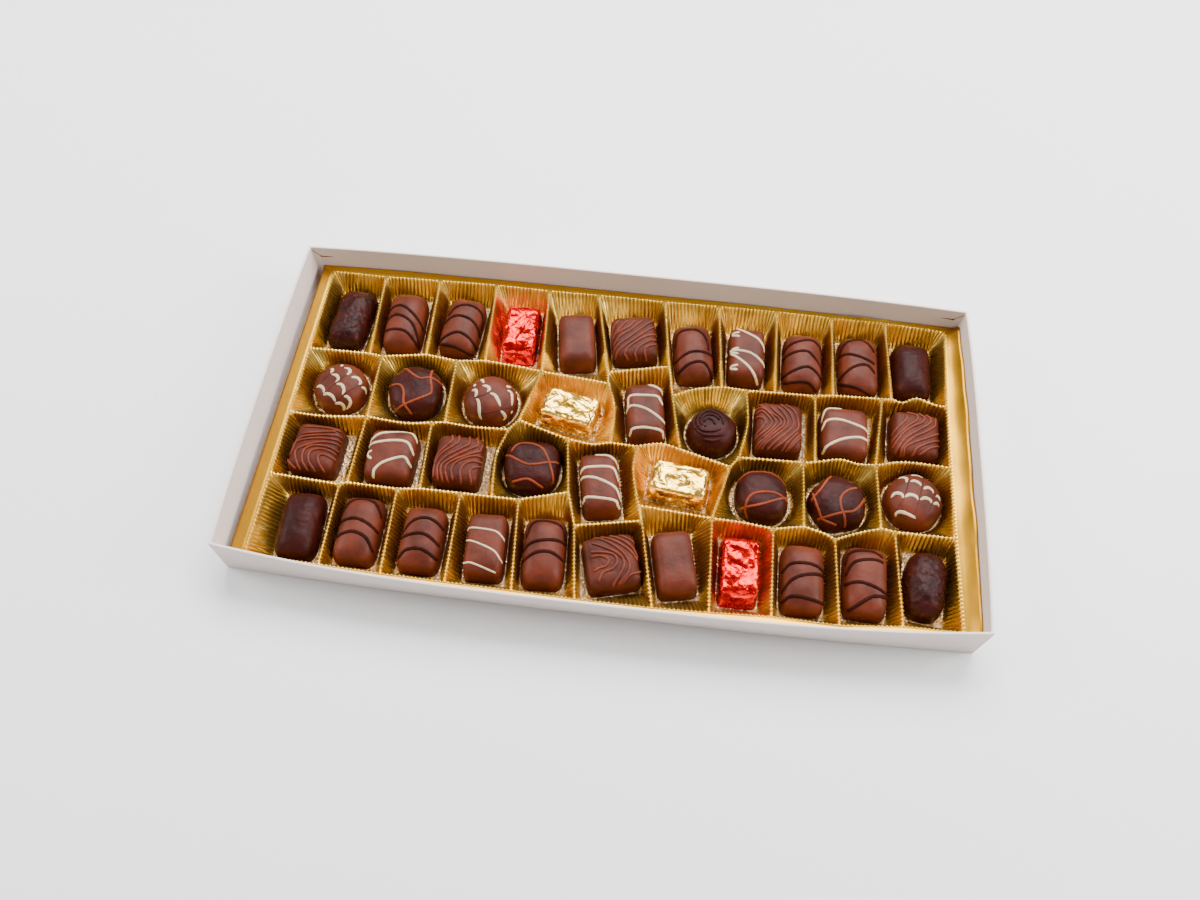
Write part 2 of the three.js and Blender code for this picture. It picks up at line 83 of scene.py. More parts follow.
class Shader:
    def __init__(self, name):
        self.material = bpy.data.materials.new(name)
        self.material.use_nodes = True
        self.tree = self.material.node_tree
        self.surface = self.tree.nodes["Principled BSDF"]

    def node(self, kind, settings=None, inputs=None, output=0):
        made = self.tree.nodes.new(kind)
        for key, value in (settings or {}).items():
            if key == "stops":
                for i, (place, shade) in enumerate(value):
                    stop = made.color_ramp.elements
                    stop = stop[i] if i < 2 else stop.new(place)
                    stop.position = place
                    stop.color = (shade, shade, shade, 1)
            else:
                setattr(made, key, value)
        for key, value in (inputs or {}).items():
            self.feed(made.inputs[key], value)
        return Value(self, made.outputs[output])

    def feed(self, socket, value):
        if isinstance(value, Value):
            self.tree.links.new(value.socket, socket)
        else:
            socket.default_value = value

    def set(self, **values):
        for key, value in values.items():
            self.feed(self.surface.inputs[key.replace("_", " ")], value)

    def where(self):
        return self.node("ShaderNodeTexCoord", output="Object")

    def part(self, axis):
        return self.node("ShaderNodeSeparateXYZ", inputs={0: self.where()}, output=axis)

    def grain(self, scale, detail=2.0, roughness=0.5):
        return self.node("ShaderNodeTexNoise", inputs={
            "Vector": self.where(), "Scale": scale, "Detail": detail, "Roughness": roughness})

    def ramp(self, value, *stops):
        return self.node("ShaderNodeValToRGB", {"stops": stops}, {0: value})

    def mix(self, factor, first, second):
        colours = {6: rgb(first), 7: rgb(second)}
        return self.node("ShaderNodeMix", {"data_type": "RGBA"}, {0: factor, **colours}, output=2)

    def bump(self, height, distance, strength=1.0, after=None):
        inputs = {"Height": height, "Distance": distance, "Strength": strength}
        if after:
            inputs["Normal"] = after
        return self.node("ShaderNodeBump", inputs=inputs)


def rgb(colour):
    return (*colour, 1) if isinstance(colour, tuple) and len(colour) == 3 else colour


def makeChocolate(name, light, deep, roughness, relief, gloss=0.3, specks=None):
    s = Shader(name)
    tone = s.grain(90, 3)
    shade = s.mix(s.ramp(tone, (0.35, 0), (0.65, 1)), deep, light)
    pale = tuple(min(1, c * 1.5 + 0.02) for c in light)
    shade = s.mix(s.ramp(s.grain(1500, 2, 0.6), (0.66, 0), (0.74, 1)) * 0.3, shade, pale)
    if specks:  # bits of nut and berry under the coating
        shade = s.mix(s.ramp(s.grain(420, 2, 0.6), (0.62, 0), (0.7, 1)), shade, specks)
    s.set(Base_Color=shade, Roughness=roughness + 0.16 * s.grain(260, 3),
          IOR=1.45, Specular_IOR_Level=gloss)
    soft = s.bump(s.grain(240, 3), 0.0009 * relief, 0.6)
    s.set(Normal=s.bump(s.grain(1300, 2, 0.6), 0.00012 * relief, 0.7, soft))
    return s.material


def makeFoil(name, light, deep, roughness):
    s = Shader(name)
    shade = s.mix(s.ramp(s.grain(200, 3), (0.42, 0), (0.58, 1)), deep, light)
    s.set(Base_Color=shade, Metallic=0.95, Roughness=roughness + 0.12 * s.grain(500, 2))
    creases = s.bump(s.ramp(s.grain(105, 0, 0.4), (0.3, 1), (0.5, 0), (0.7, 1)), 0.0014, 0.7)
    fine = s.ramp(s.grain(330, 1, 0.4), (0.35, 1), (0.5, 0), (0.65, 1))
    s.set(Normal=s.bump(fine, 0.0002, 0.4, creases))
    return s.material


def makeGoldSheet():
    s = Shader("goldSheet")
    height = s.part("Z")
    low = height < 0.0024
    # painted highlight: the sheet's ridge tops get a brighter gold
    high = s.ramp(height * 50, (0.62, 0), (0.67, 1))
    tone = s.ramp(s.grain(70, 3), (0.35, 0), (0.65, 1))
    gold = s.mix(tone, (0.62, 0.40, 0.075), (0.78, 0.53, 0.12))
    gold = s.mix(high, gold, (0.95, 0.66, 0.14))
    s.set(Base_Color=s.mix(low, gold, (0.95, 0.68, 0.43)), Metallic=1.0 - 0.25 * low,
          Roughness=0.27 + 0.1 * s.grain(400, 3) + 0.12 * low)
    facets = s.node("ShaderNodeTexVoronoi", {"feature": "F1"}, {
        "Vector": s.where(), "Scale": 620.0, "Randomness": 1.0})
    crinkle = s.bump(facets * low, 0.0016, 1.0)
    s.set(Normal=s.bump(s.grain(120, 2, 0.5), 0.0008, 0.25, crinkle))
    return s.material


def makeFlangeGold():
    s = Shader("flangeGold")
    x = s.part("X")
    tone = s.ramp((x * x - 0.0284) * 330, (0.0, 1), (0.95, 0))  # painted shade: deeper towards the box's ends
    s.set(Base_Color=s.mix(tone, (0.34, 0.160, 0.008), (0.56, 0.290, 0.022)), Metallic=1.0,
          Roughness=0.3 + 0.1 * s.grain(300, 3))
    s.set(Normal=s.bump(s.grain(60, 2, 0.5), 0.0012, 0.22))
    return s.material


# in metres: the folds from the slots to the rim's corners, and the shaded corner at the front right
boardMarks = {
    "rim": 0.0277, "foldLean": 0.93, "foldStart": 0.1549, "foldWidth": 0.0004, "foldFoot": 0.0208,
    "foldEnd": 0.1786, "middle": 0.0025, "innerDepth": 0.0896, "cornerX": 0.1794, "cornerY": -0.0869,
}


def makeBoard():
    s = Shader("greyBoard")
    x, y, z = s.part("X"), s.part("Y"), s.part("Z")
    fibre = s.grain(900, 4, 0.7)
    cloud = s.grain(25, 3)
    face = s.mix(cloud, (0.72, 0.615, 0.565), (0.78, 0.68, 0.635))
    face = s.mix(s.ramp(fibre, (0.3, 0), (0.75, 1)) * 0.1, face, (0.58, 0.48, 0.43))
    marks = boardMarks
    # painted highlight: the board a little lighter along the rim's top edge
    face = s.mix((z > marks["rim"]) * 0.5, face, (0.80, 0.66, 0.62))
    fold = abs(abs(x) - marks["foldLean"] * z - marks["foldStart"]) < marks["foldWidth"]
    fold = fold * (z > marks["foldFoot"]) * (abs(x) < marks["foldEnd"])
    fold = fold * (abs(y - marks["middle"]) < marks["innerDepth"])  # on the inner faces alone
    # painted shade in the corner at the front right
    corner = (x > marks["cornerX"]) * (y < marks["cornerY"])
    face = s.mix(fold * 0.9 + corner * 0.45, face, (0.16, 0.07, 0.05))
    s.set(Base_Color=face, Roughness=0.5 + 0.15 * fibre, Specular_IOR_Level=0.4)
    s.set(Normal=s.bump(fibre, 0.00008, 0.5))
    return s.material


def makeCutEdge():
    s = Shader("cutEdge")
    fibre = s.grain(1400, 3, 0.7)
    s.set(Base_Color=s.mix(fibre, (0.16, 0.045, 0.03), (0.30, 0.10, 0.06)), Roughness=0.85)
    s.set(Normal=s.bump(fibre, 0.0001, 0.6))
    return s.material


def makeFloorPaint():
    s = Shader("paleFloor")
    s.set(Base_Color=s.mix(s.grain(6, 2), (0.88, 0.88, 0.88), (0.92, 0.92, 0.92)), Roughness=0.7)
    return s.material


board = makeBoard()
cutEdge = makeCutEdge()
goldSheet = makeGoldSheet()
flangeGold = makeFlangeGold()
milk = makeChocolate("milkChocolate", (0.104, 0.0195, 0.0088), (0.056, 0.0100, 0.0041), 0.38, 0.5, 0.16)
# darker milk: painted shade on the ridged sweets between their crests, and the feather lines' colour
milkValleyShadeAndFeather = makeChocolate("paintedValleyShadeAndFeatherMilk", (0.074, 0.0130, 0.0054), (0.042, 0.0068, 0.0027),
                         0.40, 0.8, 0.15)
dark = makeChocolate("darkChocolate", (0.034, 0.0043, 0.0030), (0.018, 0.0022, 0.0015), 0.36, 0.8, 0.11)
roughDark = makeChocolate("roughDarkChocolate", (0.030, 0.0032, 0.0026), (0.014, 0.0015, 0.0012),
                          0.34, 1.2, 0.14, (0.070, 0.008, 0.007))
darkLine = makeChocolate("darkLine", (0.026, 0.0050, 0.0024), (0.015, 0.0027, 0.0013), 0.45, 0.4, 0.05)
milkLine = makeChocolate("milkLine", (0.20, 0.034, 0.009), (0.145, 0.023, 0.006), 0.42, 0.4, 0.16)
# lighter milk on the ridged sweets' crests: a painted highlight
milkRidgeHighlight = makeChocolate("milkRidgeHighlight", (0.150, 0.0255, 0.0092), (0.092, 0.015, 0.0055), 0.38, 0.6, 0.2)
whiteLine = makeChocolate("whiteLine", (0.56, 0.46, 0.30), (0.44, 0.34, 0.20), 0.45, 0.4, 0.2)
# dark lines in the gold foil's folds: painted shade
foilFoldShade = makeChocolate("goldFoldShade", (0.08, 0.028, 0.005), (0.04, 0.012, 0.002), 0.4, 0.4, 0.3)
redFoil = makeFoil("redFoil", (0.74, 0.0, 0.002), (0.44, 0.0, 0.0005), 0.2)
goldFoil = makeFoil("goldFoil", (0.92, 0.62, 0.13), (0.66, 0.36, 0.03), 0.14)
print("materials done")


def skinRings(bm, rings, capStart=False, capEnd=False):
    place = bm.verts.layers.int.get("place") or bm.verts.layers.int.new("place")
    verts = bmesh.ops.create_circle(bm, segments=len(rings[0]), radius=1)["verts"]
    for i, vert in enumerate(verts):
        vert[place] = i
        vert.co = rings[0][i]
    edges = list({edge for vert in verts for edge in vert.link_edges})
    if capStart:
        bmesh.ops.contextual_create(bm, geom=edges)
    for ring in rings[1:]:
        made = bmesh.ops.extrude_edge_only(bm, edges=edges)["geom"]
        for item in made:
            if isinstance(item, bmesh.types.BMVert):
                item.co = ring[item[place]]
        known = set(edges)
        edges = [e for e in made if isinstance(e, bmesh.types.BMEdge)
                 and e.is_boundary and e not in known]
    if capEnd:
        bmesh.ops.contextual_create(bm, geom=edges)


def joinInto(bm, part, materialIndex):
    for face in part.faces:
        face.material_index = materialIndex
    spare = bpy.data.meshes.new("spare")
    part.to_mesh(spare)
    part.free()
    bm.from_mesh(spare)
    bpy.data.meshes.remove(spare)


def finishPiece(bm, name, materials, nodes, sharp=50, faceUp=False):
    bmesh.ops.remove_doubles(bm, verts=bm.verts, dist=0.004)
    bmesh.ops.recalc_face_normals(bm, faces=bm.faces)
    if faceUp and sum(f.normal.z * f.calc_area() for f in bm.faces) < 0:
        bmesh.ops.reverse_faces(bm, faces=bm.faces)
    bmesh.ops.translate(bm, verts=bm.verts, vec=(0, centring, 0))
    bmesh.ops.scale(bm, verts=bm.verts, vec=(metre, metre, metre))
    mesh = bpy.data.meshes.new(name)
    bm.to_mesh(mesh)
    bm.free()
    mesh.shade_smooth()
    mesh.set_sharp_from_angle(angle=math.radians(sharp))
    for material in materials:
        mesh.materials.append(material)
    piece = bpy.data.objects.new(name, mesh)
    bpy.context.collection.objects.link(piece)
    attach(piece, "root")
    if nodes:
        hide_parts(*nodes)
    return piece


def curveThrough(points, step, divisor=1):
    # points along a smooth curve, its last one left out; the count is a multiple of divisor
    pts = [np.array(p, float) for p in points]
    pts = [2 * pts[0] - pts[1]] + pts + [2 * pts[-1] - pts[-2]]
    line = []
    for a, b, c, d in zip(pts, pts[1:], pts[2:], pts[3:]):
        count = max(1, round(np.linalg.norm(c - b) / step / divisor)) * divisor
        for k in range(count):
            t = k / count
            line.append(0.5 * (2 * b + (c - a) * t + (2 * a - 5 * b + 4 * c - d) * t ** 2
                               + (3 * b - a - 3 * c + d) * t ** 3))
    return line


# the board tray, in millimetres
tray = {
    "length": 360, "depth": 180, "height": 28, "board": 1.2,
    "baseBow": {"front": 3, "back": 1, "side": 0.5},
    "rimBow": {"front": 8, "back": 3, "side": 1.5},
    "bowPower": 3, "edge": 0.3, "steps": (96, 48),
    "slot": {"length": 7, "height": 1.2, "depth": 0.7, "fromCorner": 5, "z": 21,
             "span": (167, 176), "cutterOut": 2},
}


def bow(along, half, amount):
    return amount * (1 - abs(along / half) ** tray["bowPower"])


def wallSpring(side, z):
    low, high = tray["baseBow"][side], tray["rimBow"][side]
    return low + (high - low) * z / tray["height"]


def wallFace(side, along, z, inset):
    # distance of a wall from the middle of the box
    half = (tray["length"] if side != "side" else tray["depth"]) / 2 - inset
    out = (tray["depth"] if side != "side" else tray["length"]) / 2 - inset
    return out + bow(min(abs(along), half), half, wallSpring(side, z))


def trayRing(z, inset):
    halfX, halfY = tray["length"] / 2 - inset, tray["depth"] / 2 - inset
    longSteps, shortSteps = tray["steps"]
    ring = []
    for i in range(longSteps):
        x = halfX * (2 * i / longSteps - 1)
        ring.append((x, -wallFace("front", x, z, inset), z))
    for i in range(shortSteps):
        y = halfY * (2 * i / shortSteps - 1)
        ring.append((wallFace("side", y, z, inset), y, z))
    for i in range(longSteps):
        x = halfX * (1 - 2 * i / longSteps)
        ring.append((x, wallFace("back", x, z, inset), z))
    for i in range(shortSteps):
        y = halfY * (1 - 2 * i / shortSteps)
        ring.append((-wallFace("side", y, z, inset), y, z))
    return ring


def makeTray():
    height, thick, edge = tray["height"], tray["board"], tray["edge"]
    outside = [(0, edge), (edge, 0), (7, 0), (14, 0), (21, 0), (height - edge, 0), (height, edge)]
    inside = [(height, thick - edge), (height - edge, thick), (21, thick), (14, thick),
              (7, thick), (thick + edge, thick), (thick, thick + edge)]
    bm = bmesh.new()
    skinRings(bm, [trayRing(z, inset) for z, inset in outside + inside], True, True)
    piece = finishPiece(bm, "boardTray", [board, cutEdge], ["tray"], 35)
    cutTraySlots(piece)
    print("tray done")


def cutTraySlots(piece):
    slot = tray["slot"]
    cutter = bmesh.new()
    for side, sign in (("front", -1), ("back", 1)):
        for end in (-1, 1):
            x = end * (tray["length"] / 2 - slot["fromCorner"] - slot["length"] / 2)
            face = wallFace(side, x, slot["z"], tray["board"])
            made = bmesh.ops.create_cube(cutter, size=1)["verts"]
            for vert in made:  # a wedge, thicker towards the corner
                thin = 0.25 if vert.co.x * end < 0 else 1
                vert.co.x = x + vert.co.x * slot["length"]
                vert.co.y = sign * (face + slot["depth"] / 2 - slot["cutterOut"] / 2
                                    + vert.co.y * (slot["depth"] + slot["cutterOut"]))
                vert.co.z = slot["z"] + vert.co.z * slot["height"] * thin
    bmesh.ops.recalc_face_normals(cutter, faces=cutter.faces)
    bmesh.ops.translate(cutter, verts=cutter.verts, vec=(0, centring, 0))
    bmesh.ops.scale(cutter, verts=cutter.verts, vec=(metre, metre, metre))
    mesh = bpy.data.meshes.new("slotCutter")
    cutter.to_mesh(mesh)
    cutter.free()
    tool = bpy.data.objects.new("slotCutter", mesh)
    bpy.context.collection.objects.link(tool)
    cut = piece.modifiers.new("slots", "BOOLEAN")
    cut.operation, cut.solver, cut.object = "DIFFERENCE", "EXACT", tool
    graph = bpy.context.evaluated_depsgraph_get()
    result = bpy.data.meshes.new_from_object(piece.evaluated_get(graph))
    piece.modifiers.clear()
    piece.data = result
    bpy.data.objects.remove(tool)
    if len(result.materials) < 2:
        result.materials.append(cutEdge)
    nearEnd, farEnd = slot["span"]
    for face in result.polygons:  # the slots' own faces get the colour of cut board
        c = face.center / metre
        inner = abs(c.z - slot["z"]) < slot["height"] * 0.52 and nearEnd < abs(c.x) < farEnd
        near = (c.y - centring) / (1 if c.y > centring else -1)
        wall = wallFace("back" if c.y > centring else "front", c.x, slot["z"], tray["board"])
        if inner and wall + 0.02 < near < wall + slot["depth"] + 0.05:
            face.material_index = 1


makeTray()

# the gold insert: ridge lines from back to front, the pockets between them, and how the sheet is formed
net = {
    "lines": [
        [(-168, 85), (-138, 85), (-107.5, 86), (-75.5, 87), (-46, 86.5), (-18.5, 87),
         (18.5, 87), (48.5, 87.5), (80.5, 88), (110.5, 87.5), (139.5, 87.5), (172, 85.5)],
        [(-168, 32.5), (-135.5, 33), (-128.5, 32), (-105.5, 36), (-88.5, 34), (-73.5, 36),
         (-55, 34.5), (-42.5, 33), (-6.5, 30), (-7.5, 37), (24.5, 44.5), (27.5, 26.5),
         (39.5, 32), (53, 35), (66, 34.5), (81, 35), (102, 35.5), (111.5, 37),
         (137, 38), (142, 38.5), (148, 37), (155, 40.5), (165, 37.5), (170.5, 37.5)],
        [(-168, -7.5), (-150, -8), (-128, -5.5), (-108, -7), (-94, -5), (-87.5, -4),
         (-72, -5), (-54, -4), (-50, 2), (-34, -3), (-23.5, -6), (-11, -7.5),
         (-1.5, -5.5), (12, -6), (24, -3), (34, -5), (60, -12), (64, -6), (96.5, -5),
         (102.5, -4), (115, -1), (124, -2.5), (133, -2), (148, 1.5), (170.5, 1)],
        [(-168, -43.5), (-132.5, -45.5), (-129, -44), (-103.5, -44.5), (-92.5, -43),
         (-72, -43), (-56.5, -43), (-43, -43), (-19, -36), (-14, -53.5), (18.5, -47),
         (16, -39), (52.5, -41.5), (68, -42), (82.5, -43.5), (97.5, -40.5), (107, -43),
         (112.5, -45.5), (123, -41), (135, -37), (141.5, -38), (170.5, -38)],
        [(-168.5, -88), (-132, -88.5), (-102, -89.5), (-71, -90), (-39, -90.5), (-9, -91),
         (27.5, -91), (54, -90), (83, -88.5), (114.5, -89), (144, -86), (171.5, -85.5)],
    ],
    "rows": [  # joints on the line behind, joints on the line in front, bends between
        (list(range(12)), [0, 1, 3, 5, 7, 9, 10, 13, 15, 17, 19, 23], {}),
        ([0, 2, 4, 7, 8, 11, 14, 16, 18, 23], [0, 2, 5, 8, 12, 15, 17, 19, 22, 24],
         {4: (-1.5, 14), 6: (67.5, 14)}),
        ([0, 2, 4, 7, 10, 13, 16, 18, 22, 24], [0, 2, 4, 6, 8, 11, 12, 15, 19, 21],
         {3: (-58, -20), 5: (11.5, -20)}),
        ([0, 1, 3, 5, 7, 9, 10, 12, 14, 17, 20, 21], list(range(12)), {}),
    ],
    "ridgeTop": 14, "floor": 2.0, "flute": 2.0, "fluteDepth": 0.5, "sheet": 0.3,
    "halfRidge": 0.65, "draft": 2.0, "roundFloor": 15.4, "swirlFloor": 14.2,
    "bead": 0.3, "besideSweet": 0.3, "crest": 0.3, "footRounding": 14,
    "wallSteps": ((0.2, 1.0), (0.42, 1.0), (0.64, 0.9), (0.84, 0.7)), "floorSteps": (0.12, 0.6),
    "widerRight": {18: 2.4, 19: 4.4, 21: 3.2, 22: 2.6, 23: 3.8}, "widerLeft": {35: 4.0},
}
step = net["flute"] / 4  # four points to a flute


def lineJoints(index):
    joints = set()
    if index < 4:
        joints |= set(net["rows"][index][0])
    if index > 0:
        joints |= set(net["rows"][index - 1][1])
    return sorted(joints)


def traceLine(index):
    # the curve from each point of a ridge line to the next, smooth but for its joints
    points, joints = net["lines"][index], lineJoints(index)
    return {(a, b): curveThrough(points[a:b + 1], step, 4) for a, b in zip(joints, joints[1:])}


lineSpans = [traceLine(i) for i in range(5)]


def along(index, start, end):
    curve = []
    for (a, b), points in sorted(lineSpans[index].items()):
        if a >= start and b <= end:
            curve += points
    return curve


def crossRidge(row, k):
    # from the line in front to the line behind
    behind, before, bends = net["rows"][row]
    path = [net["lines"][row + 1][before[k]], net["lines"][row][behind[k]]]
    if k in bends:
        path.insert(1, bends[k])
    return curveThrough(path, step, 4)


def backwards(curve, end):
    return [np.array(end, float)] + curve[:0:-1]


def pocketRing(row, k):
    behind, before, _ = net["rows"][row]
    front = along(row + 1, before[k], before[k + 1])
    right = crossRidge(row, k + 1)
    back = backwards(along(row, behind[k], behind[k + 1]), net["lines"][row][behind[k + 1]])
    left = backwards(crossRidge(row, k), net["lines"][row][behind[k]])
    return np.array(front + right + back + left)


def inwards(ring):
    tangent = np.roll(ring, -1, 0) - np.roll(ring, 1, 0)
    tangent /= np.linalg.norm(tangent, axis=1)[:, None]
    return np.stack([-tangent[:, 1], tangent[:, 0]], 1)


def smoothed(ring, times):
    for _ in range(times):
        ring = ring + 0.25 * (np.roll(ring, -1, 0) + np.roll(ring, 1, 0) - 2 * ring)
    return ring


def shrinkRing(ring, distance, steps, softness):
    # moves a ring inwards a little at a time and rounds its corners as it goes
    for _ in range(steps):
        ring = smoothed(ring + inwards(ring) * distance / steps, softness)
    return ring


def footRing(rim, number, sweet):
    # where the wall meets the floor, close round the sweet
    foot = shrinkRing(rim, net["draft"], 10, 8)
    middle = np.array(sweet["middle"])
    if sweet["round"]:
        away = foot - middle
        size = np.linalg.norm(away, axis=1)[:, None]
        radius = net["swirlFloor"] if sweet["mould"] == "swirl" else net["roundFloor"]
        return middle + away * np.minimum(1, radius / size)
    c, s = math.cos(sweet["turn"]), math.sin(sweet["turn"])
    turned = np.array([[c, -s], [s, c]])
    local = (foot - middle) @ turned
    margin = net["besideSweet"]
    halfX, halfY = moulds[sweet["mould"]]["width"] / 2, sweet["length"] / 2
    low = np.array([-halfX - net["widerLeft"].get(number, margin), -halfY - margin])
    high = np.array([halfX + net["widerRight"].get(number, margin), halfY + margin])
    kept = np.clip(local, low, high)
    local = smoothed(kept + 0.05 * (local - kept), net["footRounding"])
    return local @ turned.T + middle


def makePocket(bm, row, k, number, sweet):
    centre = pocketRing(row, k)
    crest = shrinkRing(centre, net["crest"], 3, 1)
    rim = shrinkRing(crest, net["halfRidge"] - net["crest"], 4, 4)
    foot = footRing(rim, number, sweet)
    flute = np.cos(np.arange(len(centre)) * math.pi / 2)[:, None]
    bottom, top, bead = net["floor"], net["ridgeTop"], net["bead"]
    rings = [np.column_stack([centre, top + bead * flute[:, 0]])]

    def addRing(flat, height, depth, ruffle=0.0, lift=0.0):
        clear = inwards(flat)
        room = np.linalg.norm(np.roll(flat, -1, 0) - np.roll(flat, 1, 0), axis=1)[:, None] / (2 * step)
        wild = np.array([[noise.noise(Vector((x * 0.12, y * 0.12, height * 0.2)))] for x, y in flat])
        fine = np.array([[noise.noise(Vector((x * 0.7, y * 0.7, height * 0.2)))] for x, y in flat])
        place = flat + clear * (depth * flute * np.clip(room, 0.1, 1) * (1 + 0.6 * fine) + ruffle * wild)
        rings.append(np.column_stack([place, np.full(len(flat), height) + lift * flute[:, 0]]))

    deep = net["fluteDepth"]
    addRing(crest, top - 0.15, deep * 0.55, 0, bead * 0.9)
    addRing(rim, top - 0.85, deep, 0, bead * 0.4)
    for share, amount in net["wallSteps"]:
        flat = rim + (foot - rim) * share
        addRing(flat, top - 0.75 + (bottom + 0.2 - top + 0.75) * share, deep * amount, 0.5 * share)
    addRing(foot, bottom + 0.15, deep * 0.3)
    middle = np.array(sweet["middle"])
    for share in net["floorSteps"]:
        addRing(foot + (middle - foot) * share, bottom, 0)
    skinRings(bm, rings, False, True)


# the flat band round the pockets, in millimetres
flange = {
    "leftEnd": -175.6, "rightEnd": 178.0, "leftEdge": -176, "leftLean": 1.5, "gap": 0.5,
    "rings": (0.07, 0.15, 0.3, 0.5, 0.7, 0.85, 1),
    "dent": {"x": 125, "rise": 1.1, "riseReach": 18, "depth": 1.4, "depthReach": 16},
    "rightRise": 4.6, "leftDrop": 0.5, "buckledFrom": 55,
}


def flangeHeight(part, x, y, share):
    # the band lies flat at the left, and turns up against the wall at the right
    wild, dent = noise.noise(Vector((x * 0.022, y * 0.03, 3.0))), flange["dent"]
    rise = share ** 1.5
    if part == "right":
        wave = noise.noise(Vector((y * 0.045, 2.0, 7.0)))
        return rise * (flange["rightRise"] + 1.5 * wave) + 0.5 * math.sin(math.pi * share) * wild
    if part == "left":
        return -flange["leftDrop"] * share
    if part == "back":
        return rise * (0.4 + 0.5 * wild + dent["rise"] * max(0, 1 - abs(x - dent["x"]) / dent["riseReach"]))
    return rise * (0.2 + 0.3 * wild + (1.2 * abs(wild) if x > flange["buckledFrom"] else 0))


def makeFlange():
    last = len(net["rows"]) - 1
    front = along(4, 0, 11)
    right = [p for row in range(last, -1, -1) for p in crossRidge(row, len(net["rows"][row][0]) - 1)]
    back = backwards(along(0, 0, 11), net["lines"][0][11])
    left = []
    for row in range(last + 1):
        left += backwards(crossRidge(row, 0), net["lines"][row][0])
    inner, outer, sides = front + right + back + left, [], []
    gap, dent, start = flange["gap"], flange["dent"], flange["leftEnd"]
    limit = tray["depth"] / 2 - tray["board"] - gap
    for part, points in (("front", front), ("right", right), ("back", back), ("left", left)):
        for i, p in enumerate(points):
            share = i / len(points)
            sides.append(part)
            if part in ("front", "back"):
                x = start + (flange["rightEnd"] - start) * (share if part == "front" else 1 - share)
                face = wallFace(part, x, net["ridgeTop"], tray["board"]) - gap
                pressed = max(0, 1 - abs(x - dent["x"]) / dent["depthReach"]) * dent["depth"]
                outer.append((x, -face if part == "front" else face - pressed))
            elif part == "right":
                y = -limit + 2 * limit * share
                outer.append((wallFace("side", y, 18, tray["board"]) - gap, y))
            else:
                y = limit - 2 * limit * share
                outer.append((flange["leftEdge"] + flange["leftLean"] * (y + limit) / (2 * limit), y))
    inner, outer = np.array(inner), np.array(outer)
    beads = net["bead"] * np.cos(np.arange(len(inner)) * math.pi / 2)
    rings = [np.column_stack([inner, net["ridgeTop"] + beads])]
    for share in flange["rings"]:
        flat = smoothed(inner + (outer - inner) * share, 6 if share < 1 else 2)
        lift = np.array([flangeHeight(part, x, y, share) for part, (x, y) in zip(sides, flat)])
        lift = smoothed(lift, 10)
        dip = 0.35 if share < 0.1 else 0.15
        rings.append(np.column_stack([flat, net["ridgeTop"] - dip + lift]))
    bm = bmesh.new()
    skinRings(bm, rings)
    piece = finishPiece(bm, "insertFlange", [flangeGold], ["insert"], 60, True)
    thicken(piece)


def thicken(piece):
    wall = piece.modifiers.new("sheet", "SOLIDIFY")
    wall.thickness = net["sheet"] * metre
    wall.offset = -1


def makeInsert():
    number = 0
    for row, (behind, _, _) in enumerate(net["rows"]):
        bm = bmesh.new()
        for k in range(len(behind) - 1):
            part = bmesh.new()
            makePocket(part, row, k, number + 1, sweets[number])
            bmesh.ops.recalc_face_normals(part, faces=part.faces)
            if max(part.faces, key=lambda f: f.calc_area()).normal.z < 0:
                bmesh.ops.reverse_faces(part, faces=part.faces)
            joinInto(bm, part, 0)
            number += 1
        piece = finishPiece(bm, f"insertRow{row + 1}", [goldSheet], ["insert"], 60, True)
        thicken(piece)
    makeFlange()
    print("insert done")


# forms of the sweets; plan and section are the powers of their rounded outlines
moulds = {
    "log": {"width": 21.2, "height": 12.4, "plan": 5.5, "section": 3.6, "swell": 0.15, "body": "milk",
            "arch": 0.16},
    "slab": {"width": 20, "height": 12.4, "plan": 7.0, "section": 5.5, "swell": 0.12, "body": "milk",
             "draft": 0.06},
    "square": {"width": 24.8, "height": 12.3, "plan": 7.0, "section": 5.5, "swell": 0.15, "body": "milk",
               "draft": 0.04},
    # the ridged sweets' body is darker milk, painted shade between the crests
    "ridged": {"width": 24.8, "height": 11.7, "plan": 8.0, "section": 6.5, "swell": 0.2, "body": "milkValleyShadeAndFeather",
               "draft": 0.03},
    "dark": {"width": 20.6, "height": 12.3, "plan": 5.0, "section": 3.2, "swell": 0.35, "body": "dark",
             "arch": 0.14},
    "bumpy": {"width": 20.6, "height": 12.2, "plan": 4.2, "section": 3.0, "swell": 0.4, "body": "roughDark",
              "arch": 0.16, "lumps": 0.4},
    "button": {"width": 28.8, "height": 12.5, "plan": 2.0, "section": 3.2, "swell": 0.15, "body": "milk"},
    "cushion": {"width": 28.4, "height": 12.6, "plan": 2.5, "section": 3.6, "swell": 0.35, "body": "dark"},
    "swirl": {"width": 27.0, "height": 12.2, "plan": 2.0, "section": 3.6, "swell": 0.08, "body": "dark",
              "draft": 0.1},
    "redFoil": {"width": 19.4, "height": 12.8, "plan": 9.0, "section": 9.0, "swell": 0.12, "body": "redFoil",
                "draft": 0.06, "crumple": 0.75, "endSlope": 0.13},
    "goldFoil": {"width": 31, "height": 12.8, "plan": 9.0, "section": 9.0, "swell": 0.12, "body": "goldFoil",
                 "draft": 0.08, "crumple": 0.75},
}
# single sweets that were dipped out of true: plan, taper to the front, corners (how many, how far, where)
oddOnes = {
    1: {"plan": 5.0}, 5: {"width": 20.4}, 16: {"width": 20.6}, 40: {"plan": 2.8},
    13: {"plan": 2.25, "corners": (5, 0.012, 100)}, 24: {"plan": 3.0, "taper": 0.09},
    27: {"plan": 2.05, "corners": (4, 0.035, 5), "width": 26.6},
    28: {"plan": 2.1, "corners": (5, 0.04, 91)}, 35: {"width": 26.4},
}

